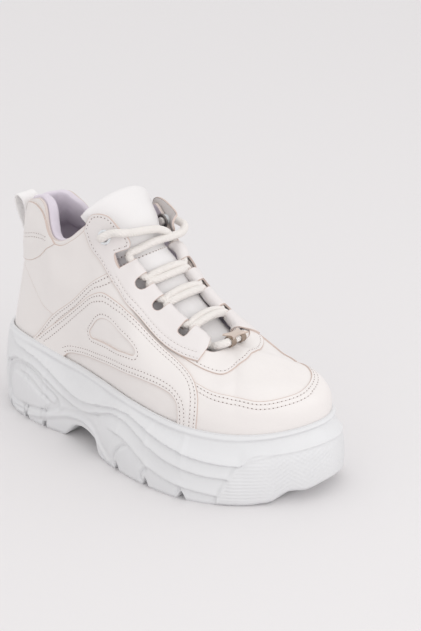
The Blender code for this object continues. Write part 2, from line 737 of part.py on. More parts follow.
def make_stay(name, side, collection, material):
    """One sheet: the tab, the loops and the strip that carries them, with the slots left out."""
    bm = bmesh.new()
    cells = [(TAB, tab_row)] + [(loop, fold_row) for loop in LOOPS]
    previous = last = None
    for stretch, beyond in cells:
        columns = []
        for near in stretch_stations(stretch):
            columns.append(add_ring(bm, stay_row(near, side) + beyond(near, side)))
        for column_a, column_b in zip(columns, columns[1:]):
            add_strip(bm, column_a, column_b, closed=False)
        if previous:
            bridge = add_ring(bm, stay_row((last + stretch.first) / 2, side))
            add_strip(bm, previous[:len(bridge)], bridge, closed=False)
            add_strip(bm, bridge, columns[0][:len(bridge)], closed=False)
        previous, last = columns[-1], stretch.last
    stay = finish_object(name, bm, collection, material, inside=HEART)
    add_solidify(stay, STAY_THICK, -1.0)
    return stay


def eyelet_frame(side):
    """Middle of the eyelet on the upper's outer face, and the matrix that turns +Z to the outward normal."""
    point, along, _, normal = upper_frame(on_side(EYELET_STATION, side), EYELET_RISE)
    across = np.cross(normal, along)
    turn = Matrix((along, across, normal)).transposed().to_4x4()
    return point, normal, Matrix.Translation(to_metres(point)) @ turn


def make_eyelet(name, side, collection, material):
    """A turned ring with a flange outside and a barrel through stay and upper."""
    _, _, place = eyelet_frame(side)
    inner, barrel, flange = EYELET_HOLE / 2, EYELET_HOLE / 2 + EYELET_WALL, EYELET_FLANGE / 2
    face = EYELET_FACE
    top = face + EYELET_WALL
    foot = -WALL - GAP
    profile = ((inner, top), (flange - EYELET_BEVEL, top), (flange, top - EYELET_BEVEL), (flange, face),
               (barrel, face), (barrel, foot), (inner, foot))
    bm = bmesh.new()
    verts = [bm.verts.new((radius * MM, 0.0, height * MM)) for radius, height in profile]
    for i, vert in enumerate(verts):
        bm.edges.new((vert, verts[(i + 1) % len(verts)]))
    mesh = bpy.data.meshes.new(name)
    bm.to_mesh(mesh)
    bm.free()
    mesh.materials.append(material)
    eyelet = bpy.data.objects.new(name, mesh)
    eyelet.matrix_world = place
    collection.objects.link(eyelet)
    turned = eyelet.modifiers.new("Turned", "SCREW")
    turned.steps = EYELET_STEPS
    turned.render_steps = EYELET_STEPS
    turned.use_merge_vertices = True
    turned.merge_threshold = 0.00001
    return eyelet


def make_eyelet_cutter(side, cutters):
    """The hole through stay and upper."""
    _, _, place = eyelet_frame(side)
    radius = (EYELET_HOLE / 2 + EYELET_WALL + GAP) * MM
    bm = bmesh.new()
    bmesh.ops.create_cone(bm, cap_ends=True, segments=EYELET_STEPS, radius1=radius, radius2=radius,
                          depth=EYELET_BORE * MM)
    bm.transform(place)
    return hidden_cutter("eyelet_cutter", bm, cutters)


def hidden_cutter(name, bm, cutters):
    face_out(bm)
    mesh = bpy.data.meshes.new(name)
    bm.to_mesh(mesh)
    bm.free()
    obj = bpy.data.objects.new(name, mesh)
    obj.display_type = "WIRE"
    obj.hide_render = True
    cutters.objects.link(obj)
    return obj


def add_boolean(obj, other, operation):
    cut = obj.modifiers.new(operation.title(), "BOOLEAN")
    cut.object = other
    cut.operation = operation


def smooth_run(points, step):
    """Evenly spaced points on a smooth curve through the points given."""
    points = np.array(points, float)
    lengths = np.concatenate([[0.0], np.cumsum(np.linalg.norm(np.diff(points, axis=0), axis=1))])
    track = Track(lengths, points)
    return [track(place) for place in np.linspace(0.0, lengths[-1], 1 + math.ceil(lengths[-1] / step))]


def cord_mesh(name, points, radius):
    """A round cord as a closed mesh, from a curve with a bevel and filled caps."""
    curve = bpy.data.curves.new(name, "CURVE")
    curve.dimensions = "3D"
    curve.bevel_depth = radius * MM
    curve.bevel_resolution = 2
    curve.use_fill_caps = True
    spline = curve.splines.new("POLY")
    spline.points.add(len(points) - 1)
    for target, point in zip(spline.points, points):
        target.co = (*to_metres(point), 1.0)
    cord = bpy.data.objects.new(name, curve)
    bpy.context.scene.collection.objects.link(cord)
    evaluated = cord.evaluated_get(bpy.context.evaluated_depsgraph_get())
    mesh = bpy.data.meshes.new_from_object(evaluated)
    bpy.data.objects.remove(cord)
    bpy.data.curves.remove(curve)
    bm = bmesh.new()
    bm.from_mesh(mesh)
    bmesh.ops.remove_doubles(bm, verts=bm.verts, dist=0.00001)
    return bm


def make_lace(name, strands, collection, cutters, material):
    """Strands that cross or lie side by side, joined into one solid."""
    first = finish_object(name, cord_mesh(name, strands[0], LACE_DIAMETER / 2), collection, material)
    for strand in strands[1:]:
        other = hidden_cutter(name + "_other", cord_mesh(name, strand, LACE_DIAMETER / 2), cutters)
        add_boolean(first, other, "UNION")
    return first


def throat_direction(near):
    """Down the throat, along the loops' axes, averaged over both sides."""
    step = 0.05
    below = sum(fold_axis(near + step, side)[0] for side in (-1.0, 1.0))
    above = sum(fold_axis(near - step, side)[0] for side in (-1.0, 1.0))
    return unit(below - above)


def crossing_strands(near):
    """The two strands between the sides at one slot."""
    lateral, medial = (fold_axis(near, side)[0] for side in (-1.0, 1.0))
    down = throat_direction(near)
    front = unit(np.cross(down, medial - lateral))
    front = front if front[2] > 0.0 else -front
    strands = []
    for turn in (-1.0, 1.0):
        strand = []
        for share in np.linspace(0.0, 1.0, LACE_STEPS):
            arch = 1.0 - (2.0 * share - 1.0) ** 2
            apart = LACE_ENDS + (LACE_PAIR - LACE_ENDS) * arch ** 3
            strand.append(lateral + (medial - lateral) * share + front * LACE_ARCH * arch + down * turn * apart)
        strands.append(strand)
    return strands


def slot_middle(number):
    """Station in the middle of the slot above the loop of this number."""
    above = LOOPS[number - 1].last if number else TAB.last
    return (above + LOOPS[number].first) / 2


def top_strands():
    """From each eyelet across to the first slot of the other side."""
    strands = []
    for side, way in ((-1.0, TOP_ROUTE_LATERAL), (1.0, TOP_ROUTE_MEDIAL)):
        point, normal, _ = eyelet_frame(side)
        rim = point + normal * (EYELET_FACE + EYELET_WALL + GAP)
        end = fold_axis(slot_middle(0), -side)[0]
        strands.append(smooth_run([rim, rim + normal * 3.0, *way, end], LACE_STEP))
    return strands


def bar_middle():
    return np.array([BAR_MIDDLE[0], middle_line(BAR_MIDDLE[0]), BAR_MIDDLE[1]])


def bar_strand():
    """The bottom bar, from loop to loop through the charm."""
    middle = bar_middle()
    half = CHARM_SIZE[1] / 2
    ends = []
    for side in (-1.0, 1.0):
        last = LOOPS[-1].last
        axis = fold_axis(last, side)[0]
        along = unit(axis - fold_axis(last - 0.1, side)[0])
        bend = []
        for turn in np.radians(BAR_TURNS):
            back = BAR_BEND * (1.0 - math.cos(turn))
            bend.append(middle + (-back, side * (half + BAR_BEND * math.sin(turn)), -back * BAR_FALL))
        ends.append([axis + along * BAR_OUT, *bend])
    straight = [middle + (0.0, half * share, 0.0) for share in BAR_ROWS]
    return smooth_run([*ends[0], *straight, *reversed(ends[1])], BAR_STEP)


def charm_outline():
    """The plate's outline round its middle, with every side curving in."""
    half = np.array(CHARM_SIZE) / 2
    corners = [half * turn for turn in ((-1, -1), (1, -1), (1, 1), (-1, 1))]
    outline = []
    for corner, following in zip(corners, corners[1:] + corners[:1]):
        inward = -unit(corner + following)
        for share in np.linspace(0.0, 1.0, CHARM_STEPS, endpoint=False):
            waist = CHARM_WAIST * 4.0 * share * (1.0 - share)
            outline.append(corner + (following - corner) * share + inward * waist)
    return outline


def make_charm(collection, cutters, material):
    """A plate with hollow sides on two sleeves that the bottom bar runs through."""
    middle = bar_middle()
    inner = LACE_DIAMETER / 2 + GAP
    plate = inner + CHARM_THICK / 4
    bm = bmesh.new()
    base = bm.faces.new([bm.verts.new(to_metres(middle + (x, y, plate))) for x, y in charm_outline()])
    raised = bmesh.ops.extrude_face_region(bm, geom=[base])
    moved = [item for item in raised["geom"] if isinstance(item, bmesh.types.BMVert)]
    bmesh.ops.translate(bm, verts=moved, vec=(0.0, 0.0, CHARM_THICK * MM))
    charm = finish_object("lace_charm", bm, collection, material)
    reach = (CHARM_SIZE[1] - SLEEVE_LENGTH) / 2 - CHARM_WAIST / 2
    for turn in (-1.0, 1.0):
        place = middle + (0.0, turn * reach, 0.0)
        sleeve = sleeve_solid(place, inner + SLEEVE_WALL, SLEEVE_LENGTH, "charm_sleeve", cutters)
        add_boolean(charm, sleeve, "UNION")
    bore = sleeve_solid(middle, inner, CHARM_SIZE[1] * 2, "charm_bore", cutters)
    add_boolean(charm, bore, "DIFFERENCE")
    return charm


def sleeve_solid(place, radius, length, name, cutters):
    """A cylinder along the lace."""
    bm = bmesh.new()
    matrix = Matrix.Translation(to_metres(place)) @ Matrix.Rotation(math.radians(90), 4, "X")
    bmesh.ops.create_cone(bm, cap_ends=True, segments=EYELET_STEPS, radius1=radius * MM, radius2=radius * MM,
                          depth=length * MM, matrix=matrix)
    return hidden_cutter(name, bm, cutters)


def make_lining(collection, material):
    """The collar's padded roll, one closed loft of equal sections round the heel."""
    side = side_stations()[:HEEL_STEPS]
    bm = bmesh.new()
    rings = []
    for station in (*-side[:0:-1], *side):
        near = abs(station)
        start, thick, above = LINING_TRACK(near)
        seat = WALL + 2 * GAP
        edge, onward, normal = edge_frame(near, -1.0 if station >= 0.0 else 1.0)
        points = [upper_offset(station, rise, -seat) for rise in np.linspace(start, 1.0, 4)]
        for row in LINING_CROWN:
            points.append(edge - normal * (seat + thick * row.deep) + onward * above * row.place)
        for row in LINING_INSIDE:
            points.append(upper_offset(station, start + (1.0 - start) * row.place, -seat - thick * row.deep))
        rings.append(add_ring(bm, points))
    for ring_a, ring_b in zip(rings, rings[1:]):
        add_strip(bm, ring_a, ring_b, closed=True)
    bm.faces.new(rings[0])
    bm.faces.new(rings[-1])
    return finish_object("collar_lining", bm, collection, material)


def heel_back(z):
    """x of the upper's back at a height."""
    low, high = 0.0, 1.0
    for _ in range(30):
        middle = (low + high) / 2
        low, high = (middle, high) if upper_point(0.0, middle)[2] < min(z, HEEL_TOP) else (low, middle)
    return upper_point(0.0, low)[0]


def make_pull_loop(collection, material):
    """A band bent into a closed loop and standing up behind the collar."""
    track = Track(range(-1, len(PULL_LOOP) + 2),
                  [PULL_LOOP[i % len(PULL_LOOP)] for i in range(-1, len(PULL_LOOP) + 2)])
    run = [track(place) for place in np.linspace(0.0, len(PULL_LOOP), 2 * len(PULL_LOOP), endpoint=False)]
    bm = bmesh.new()
    edges = []
    for y in (LOOP_MIDDLE - LOOP_WIDTH / 2, LOOP_MIDDLE, LOOP_MIDDLE + LOOP_WIDTH / 2):
        edges.append(add_ring(bm, [(heel_back(z) - behind, y, z) for behind, z in run]))
    for edge_a, edge_b in zip(edges, edges[1:]):
        add_strip(bm, edge_a, edge_b, closed=True)
    loop = finish_object("pull_loop", bm, collection, material, inside=LOOP_HEART)
    add_solidify(loop, LOOP_THICK, 0.0)
    return loop


def main():
    for obj in list(bpy.data.objects):
        bpy.data.objects.remove(obj)
    shoe = new_collection("sneaker_boot")
    cutters = new_collection("cutters", shown=False)
    leather = make_material("white_leather", (0.80, 0.77, 0.75), 0.45)
    rubber = make_material("white_sole", (0.78, 0.79, 0.79), 0.5)
    foam = make_material("footbed", (0.70, 0.66, 0.72), 0.85)
    lining = make_material("lilac_lining", (0.66, 0.60, 0.70), 0.9)
    cotton = make_material("ivory_lace", (0.90, 0.86, 0.80), 0.9)
    metal = make_material("champagne_metal", (0.72, 0.62, 0.52), 0.3, metallic=1.0)
    enamel = make_material("white_eyelet", (0.82, 0.84, 0.84), 0.35)
    make_sole(shoe, cutters, rubber)
    upper = make_upper(shoe, leather)
    make_insole(shoe, foam)
    make_tongue(shoe, leather)
    make_lining(shoe, lining)
    make_pull_loop(shoe, leather)
    for side, word in ((-1.0, "lateral"), (1.0, "medial")):
        stay = make_stay("eyestay_" + word, side, shoe, leather)
        hole = make_eyelet_cutter(side, cutters)
        add_boolean(upper, hole, "DIFFERENCE")
        add_boolean(stay, hole, "DIFFERENCE")
        make_eyelet("eyelet_" + word, side, shoe, enamel)
    for number in (1, 2, 3):
        strands = crossing_strands(slot_middle(number))
        make_lace("lace_crossing_" + str(number), strands, shoe, cutters, cotton)
    make_lace("lace_top", top_strands(), shoe, cutters, cotton)
    make_lace("lace_bar", [bar_strand()], shoe, cutters, cotton)
    make_charm(shoe, cutters, metal)


main()
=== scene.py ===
"""White chunky-soled lace-up sneaker boot, right shoe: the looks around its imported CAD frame.

Sizes are in the shoe's own millimetres: x from the back of the sole to the toe, y towards the medial side
and z up. Stations run round the shoe as seen from above: 0 at the back of the heel, along the lateral side to
11 at the toe tip, and back along the medial side to 22, which is 0 again. A near station is the lateral one
with the same table row. A rise runs up the upper's wall, from 0 at the sole's rim to 1 at the top edge or the
vamp's ridge. An out is a distance outward from a surface in mm.
"""

import logging
import math
from dataclasses import dataclass, field, replace
from enum import Enum
from typing import Callable, Optional, Sequence

import bmesh
import bpy
import numpy as np
from mathutils import Matrix, Vector
from mathutils.geometry import delaunay_2d_cdt


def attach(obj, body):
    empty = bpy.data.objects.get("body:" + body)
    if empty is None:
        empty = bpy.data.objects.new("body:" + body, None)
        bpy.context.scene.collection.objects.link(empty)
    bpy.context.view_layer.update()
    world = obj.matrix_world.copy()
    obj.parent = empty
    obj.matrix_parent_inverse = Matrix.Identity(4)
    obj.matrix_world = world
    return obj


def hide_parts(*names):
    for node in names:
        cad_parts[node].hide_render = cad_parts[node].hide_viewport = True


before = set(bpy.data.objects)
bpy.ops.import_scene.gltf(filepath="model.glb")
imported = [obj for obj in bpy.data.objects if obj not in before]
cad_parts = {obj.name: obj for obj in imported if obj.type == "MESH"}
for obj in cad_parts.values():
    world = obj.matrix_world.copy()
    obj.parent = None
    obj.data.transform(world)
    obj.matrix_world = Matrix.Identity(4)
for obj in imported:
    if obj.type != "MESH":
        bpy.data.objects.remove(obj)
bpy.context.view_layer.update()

LOG = logging.getLogger("sneaker_boot")
Array = np.ndarray
Triple = tuple[float, float, float]
Pairs = Sequence[tuple[float, float]]
Surface = Callable[[Array, Array, float], Array]
Materials = Sequence[bpy.types.Material]

MM = 0.001
BODY = "root"
WELD = 2e-6                 # metres within which vertices become one
LENGTH = 281.0              # of the sole
BALL_WIDTH = 112.0          # of the sole, at the ball of the foot
SIDE_SHIFT = -2.3           # y of the shoe that lies on the frame's middle
MIDDLE_START = 1.3          # y of the middle line at the heel
MIDDLE_SLOPE = 0.0316
TOE = 11.0                  # station of the toe's tip
ROUND = 22.0                # stations once round the shoe
THROAT_BASE = 9.0           # near station where the throat ends and the vamp's ridge starts
WALL = 2.2                  # thickness of the upper
RIM_WALL = 2.4              # thickness of the sole's cup at its rim
RIM_GAP = 0.45              # between that and the upper
CUP_DEPTH = 7.0
CUP_ROOM = 0.6              # between the upper's foot and the floor of the cup
STAY_GAP = 0.8              # between the upper and the back of the eyestay
STAY_THICK = 1.4
STAY_FACE = STAY_GAP + STAY_THICK
EYELET = (4.95, 0.95)       # near station and rise of an eyelet
LACE_RADIUS = 2.7
LACE_ROOM = 0.4             # between the lace and the inside of a loop
FOLD_RADIUS = LACE_RADIUS + LACE_ROOM + STAY_THICK
STATION_MM = 28.0           # length of a station in the flat plan of a panel
RISE_MM = 95.0              # length of the wall from rise 0 to 1 in that plan
PLAN = np.array([STATION_MM, RISE_MM])
STEP = 0.02                 # small step of a station, rise or share, for directions

# station, x as a share of LENGTH, y as a share of BALL_WIDTH, inset of the rim, height of the rim
OUTLINE = (
    (0, 0, 0.01, 4.8, 58), (1, 0.034, -0.19, 4.8, 59), (2, 0.11, -0.327, 5.8, 61),
    (3, 0.22, -0.382, 8, 58.5), (4, 0.338, -0.378, 8.5, 53), (5, 0.445, -0.435, 9, 52),
    (6, 0.552, -0.5, 9.5, 51), (7, 0.669, -0.526, 9.5, 49), (8, 0.769, -0.496, 9.5, 47.4),
    (9, 0.868, -0.368, 8.5, 46.2), (10, 0.95, -0.158, 7.5, 47.5), (11, 1, 0.11, 6.5, 51.5),
    (12, 0.968, 0.345, 6.5, 50.5), (13, 0.893, 0.445, 7, 49), (14, 0.79, 0.482, 8, 49),
    (15, 0.676, 0.473, 8.5, 50), (16, 0.562, 0.41, 8.5, 52), (17, 0.452, 0.318, 8, 54.5),
    (18, 0.345, 0.282, 8, 57), (19, 0.225, 0.315, 8, 60), (20, 0.107, 0.312, 6, 61.5),
    (21, 0.034, 0.2, 4.8, 59),
)
# x, height of the tread's edge off the floor
TREAD = (
    (0, 2), (6, 1), (14, 0), (87, 0), (101, 11.5), (112.5, 14.2), (122, 13), (127.5, 10), (131, 2),
    (136, 0), (248, 0), (256, 1), (263, 3), (266, 6.5), (270, 8.5), (275, 7.7), (281, 11),
)
# share of the height, share of the rim's inset, further inset
SIDE_LEVELS = (
    (0, 0, 1.4), (0.05, 0, 0.2), (0.5, 0.02, 0), (0.7, 0.18, 0.4), (0.88, 0.6, 0),
    (1, 1, 0.6),
)
# near station, x, half width, z, lean in degrees, and what the medial side adds to x, half and z
TOP = (
    (0, 22, 0, 148.5, 3, 0, 0, 0), (0.6, 25, 7.5, 149.5, 3, 0, 0, 0), (1.3, 34, 13.5, 153.5, 4, -1, 0, -1),
    (2, 46, 17.5, 157.5, 5, -4, -0.5, -4), (2.5, 56, 22.5, 154.5, 6, -6, -2.5, -7),
    (2.75, 62, 27, 146, 8, -6, -3, -7.5), (3, 68, 30.5, 140.5, 10, -4, -2, -6.5),
    (3.35, 77, 33, 138.3, 11, 0, 0, -2.5), (3.8, 91, 33.5, 144.3, 10, -1, 1, -2),
    (4.15, 101, 32, 153, 9, -2, 2, -4), (4.4, 107.5, 30.4, 158, 9, -3, 2.5, -5),
    (4.65, 113, 29.4, 161, 10, -4, 2.8, -6), (4.9, 118.5, 29, 157, 12, -4.5, 2.8, -6),
    (5.15, 122.5, 29.2, 149.5, 17, -4.5, 2.8, -5), (5.5, 127.5, 29.2, 138, 28, -3, 1.4, -3),
    (5.8, 132.5, 28.6, 129.5, 37, -1.4, 0.5, -1.4), (6.1, 139.5, 27.9, 123.5, 45, 0, 0, 0),
    (6.6, 152.5, 26.8, 110.8, 47, 0, 0, 0), (7.05, 165.5, 26, 101.3, 47, 0, 0, 0),
    (7.55, 178, 25, 95, 49, 0, 0, 0), (7.95, 188, 24, 91.2, 52, 0, 0, 0), (8.3, 196, 22, 88, 56, 0, 0, 0),
    (8.6, 201, 17, 85.5, 62, 0, 0, 0), (8.82, 203, 9.5, 85.2, 72, 0, 0, 0),
    (9, 203.5, 0, 85.5, 79, 0, 0, 0),
)
# share of the way from the throat's base to the fan above the toe, x, z
RIDGE = ((0, 203.5, 85.5), (0.3, 216, 83.8), (0.65, 230, 80.6), (1, 242, 76.5))
# near station, outward lean at the rim in degrees, pulls of the section at its foot and top
FOOT = (
    (0, -12, 0.33, 0.33), (2, -8, 0.33, 0.33), (4, -1, 0.36, 0.36), (6, 4, 0.4, 0.36), (8, 6, 0.42, 0.38),
    (10, 4, 0.46, 0.46), (11, 2, 0.48, 0.48),
)
# share of the length from under the vamp, x, z, half width, drop of the edges
TONGUE = (
    (0, 221, 73, 16, 5), (0.1, 209, 77, 19, 8), (0.2, 195.5, 84, 21.5, 11), (0.31, 180.5, 93, 23.5, 14),
    (0.43, 165.5, 103.5, 25, 16.5), (0.55, 150.5, 117.5, 26, 17), (0.66, 139.3, 131.2, 25.6, 16.8),
    (0.76, 130.9, 143.7, 25.4, 14.8), (0.85, 124, 156.5, 27.5, 14), (0.93, 115.5, 167, 32, 16),
    (1, 106.5, 175.5, 34, 14.5),
)
# near station, how far the eyestay runs on past the upper's top edge
REACH = ((4.3, 0.8), (4.45, 1.5), (4.65, 3), (4.9, 6.5), (5.15, 10.5), (5.4, 11), (5.7, 7.5), (8.4, 7.5))
# near station, start of the collar's roll on the wall, its thickness, how far it stands above the edge
LINING = (
    (0, 0.7, 7.5, 4.5), (1.3, 0.72, 7.5, 3), (2.2, 0.74, 7.5, 2), (2.9, 0.76, 7, 2), (3.4, 0.8, 5.5, 1.5),
    (4, 0.88, 2.6, 0.5),
)
# Seen from the side: how far the pull loop's middle is behind the upper's back, and its height
PULL_LOOP = (
    (1.3, 130), (1.3, 137), (2.1, 143.5), (5, 148.8), (9, 150.9), (12.2, 149.2), (12.2, 144.5),
    (10.1, 139.5), (7.2, 134.5), (4.5, 130.4), (2.8, 127.4),
)
# near stations of the eyestay's lace loops, and of the end of the eyelet's tab over them
LOOPS = ((5.74, 6.14), (6.38, 6.66), (6.88, 7.47), (7.76, 8.38))
TAB_END = 5.42


class Side(Enum):
    """The two sides of the shoe, by the sign of y away from the middle line."""

    LATERAL = -1
    MEDIAL = 1

    def station(self, near: Array) -> Array:
        """The station on this side with the near station's table row."""
        return np.asarray(near) if self is Side.LATERAL else ROUND - np.asarray(near)

    @property
    def word(self) -> str:
        """The side's name in piece names."""
        return self.name.lower()


def to_metres(points: Array) -> Array:
    """Points of the shoe in the frame's metres, under whose origin the middle of the shoe lies."""
    return (np.asarray(points, float) - (LENGTH / 2, SIDE_SHIFT, 0.0)) * MM


def unit(vectors: Array) -> Array:
    """Vectors along the last axis, brought to length one."""
    return vectors / np.maximum(np.linalg.norm(vectors, axis=-1, keepdims=True), 1e-9)


def smoothstep(low: float, high: float, values: Array) -> Array:
    """0 below low, 1 above high and smooth between."""
    share = np.clip((np.asarray(values) - low) / (high - low), 0.0, 1.0)
    return share * share * (3.0 - 2.0 * share)


def hump(values: Array, width: float) -> Array:
    """A soft hump of height one about zero."""
    return np.exp(-((np.asarray(values) / width) ** 2))


def along_lengths(points: Array) -> Array:
    """Length along a line at each of its points."""
    return np.concatenate([[0.0], np.cumsum(np.linalg.norm(np.diff(points, axis=0), axis=1))])


def full_turn(count: int) -> Array:
    """Angles evenly round a circle."""
    return np.linspace(0.0, 2 * math.pi, count, endpoint=False)


def middle_line(x: Array) -> Array:
    """y of the shoe's middle line, which swings to the medial side from heel to toe."""
    return MIDDLE_START + MIDDLE_SLOPE * x


class Track:
    """A smooth run of values through the rows of a table, by its first column."""

    def __init__(self, rows: Sequence, limited: bool = False) -> None:
        """Fits the run.

        Args:
            rows: Rows of a key followed by its values.
            limited: Keeps the values from overshooting the rows.
        """
        table = np.asarray(rows, float)
        self.keys, self.values = table[:, 0], table[:, 1:]
        steps = np.diff(self.keys)[:, None]
        secants = np.diff(self.values, axis=0) / steps
        slopes = np.empty_like(self.values)
        slopes[0], slopes[-1] = secants[0], secants[-1]
        slopes[1:-1] = (secants[:-1] * steps[1:] + secants[1:] * steps[:-1]) / (steps[:-1] + steps[1:])
        if limited:
            turning = secants[:-1] * secants[1:] <= 0.0
            least = np.minimum(np.abs(secants[:-1]), np.abs(secants[1:])) * 3.0
            slopes[1:-1] = np.where(turning, 0.0, np.clip(slopes[1:-1], -least, least))
        self.slopes = slopes

    def __call__(self, key: Array) -> Array:
        """The values at some keys.

        Args:
            key: The keys.

        Returns:
            The values, along a new last axis.
        """
        key = np.asarray(key, float)
        i = np.clip(np.searchsorted(self.keys, key, side="right") - 1, 0, len(self.keys) - 2)
        step = (self.keys[i + 1] - self.keys[i])[..., None]
        t = (key - self.keys[i])[..., None] / step
        near = self.values[i] * (1 + 2 * t) * (1 - t) ** 2 + self.slopes[i] * step * t * (1 - t) ** 2
        far = self.values[i + 1] * t * t * (3 - 2 * t) + self.slopes[i + 1] * step * t * t * (t - 1)
        return near + far


def smooth_run(points: Sequence, step: float) -> Array:
    """Evenly spaced points, about a step apart, on a smooth curve through the points given."""
    points = np.asarray(points, float)
    lengths = along_lengths(points)
    track = Track(np.column_stack([lengths, points]))
    return track(np.linspace(0.0, lengths[-1], max(2, 1 + math.ceil(lengths[-1] / step))))


def closed_run(points: Sequence, step: float) -> Array:
    """Evenly spaced points, about a step apart, on a smooth closed curve through the points given."""
    points = np.asarray([*points[-2:], *points, *points[:2]], float)
    lengths = along_lengths(points)
    track = Track(np.column_stack([lengths, points]))
    count = max(8, round((lengths[-2] - lengths[2]) / step))
    return track(np.linspace(lengths[2], lengths[-2], count, endpoint=False))


def looped(rows: Array, count: int) -> Array:
    """As many rows as counted, evenly along a smooth closed run through the rows given."""
    keys = np.arange(-1, len(rows) + 2)
    track = Track(np.column_stack([keys, rows[keys % len(rows)].reshape(len(keys), -1)]))
    return track(np.linspace(0.0, len(rows), count, endpoint=False)).reshape(count, *rows.shape[1:])


class Outline:
    """The sole's outline in plan, with its rim and the lift of its tread."""

    def __init__(self) -> None:
        """Fits the outline, the tread and the section of the side."""
        rows = np.asarray(OUTLINE, float)
        laps = [rows + (lap * ROUND, 0, 0, 0, 0) for lap in (-1, 0, 1)]
        self.track = Track(np.concatenate(laps))
        self.lift = Track(TREAD, limited=True)
        self.levels = Track(SIDE_LEVELS, limited=True)
        self.ticks = np.linspace(0.0, ROUND, 2201)
        self.lengths = along_lengths(self.point(self.ticks, 0.0)[0])

    def point(self, station: Array, inset: Array) -> tuple[Array, Array]:
        """Points of the outline in plan.

        Args:
            station: Their stations.
            inset: How far they are moved inward.

        Returns:
            The points and the outward directions there.
        """
        scale = np.array([LENGTH, BALL_WIDTH])
        along = self.track(np.add(station, STEP)) - self.track(np.subtract(station, STEP))
        along = unit(along[..., :2] * scale)
        outward = np.stack([along[..., 1], -along[..., 0]], -1)
        return self.track(station)[..., :2] * scale - outward * np.asarray(inset)[..., None], outward

    def rim(self, station: Array) -> tuple[Array, Array]:
        """Inset and height of the rim."""
        values = self.track(station)
        return values[..., 2], values[..., 3]

    def arc(self, station: Array) -> Array:
        """Length along the outline from the back of the heel."""
        return np.interp(station, self.ticks, self.lengths)

    def station_at(self, x: float, low: float, high: float) -> float:
        """The station between two others at which the outline reaches x."""
        ticks = np.linspace(low, high, 1600)
        plan, _ = self.point(ticks, 0.0)
        order = np.argsort(plan[:, 0])
        return float(np.interp(x, plan[order, 0], ticks[order]))


@dataclass(frozen=True)
class Crease:
    """A soft trough or ridge on the upper.

    Attributes:
        line: Its middle as (station, rise) points.
        depth: Depth in mm, negative for a ridge.
        width: Half its width in mm.
    """

    line: Pairs
    depth: float
    width: float


CREASES = (
    Crease(((5.9, 0.6), (5.5, 0.5), (5.2, 0.36)), 0.5, 7),
    Crease(((3.4, 0.97), (3.9, 0.8), (4.2, 0.7)), 0.9, 8),
    Crease(((3, 0.9), (3.3, 0.7), (3.7, 0.6)), -0.5, 7),
    Crease(((2.6, 0.6), (2.9, 0.48), (3.1, 0.4)), 0.5, 6),
    Crease(((8.5, 0.66), (9.3, 0.62), (10, 0.8)), 0.7, 9),
    Crease(((8.4, 0.55), (9.2, 0.46), (10, 0.52)), -0.5, 9),
    Crease(((8.2, 0.3), (8.9, 0.15), (9.8, 0.12)), 0.4, 8),
    Crease(((13.4, 0.62), (12.7, 0.6), (12, 0.8)), 0.7, 9),
    Crease(((16.2, 0.6), (16.7, 0.46), (16.9, 0.36)), 0.6, 8),
    Crease(((18.5, 0.95), (18.1, 0.8), (17.8, 0.7)), 0.9, 8),
    Crease(((19.3, 0.62), (19, 0.45), (18.7, 0.38)), 0.5, 7),
    Crease(((6.4, 0.2), (6.9, 0.12), (7.3, 0.05)), 0.3, 6),
)


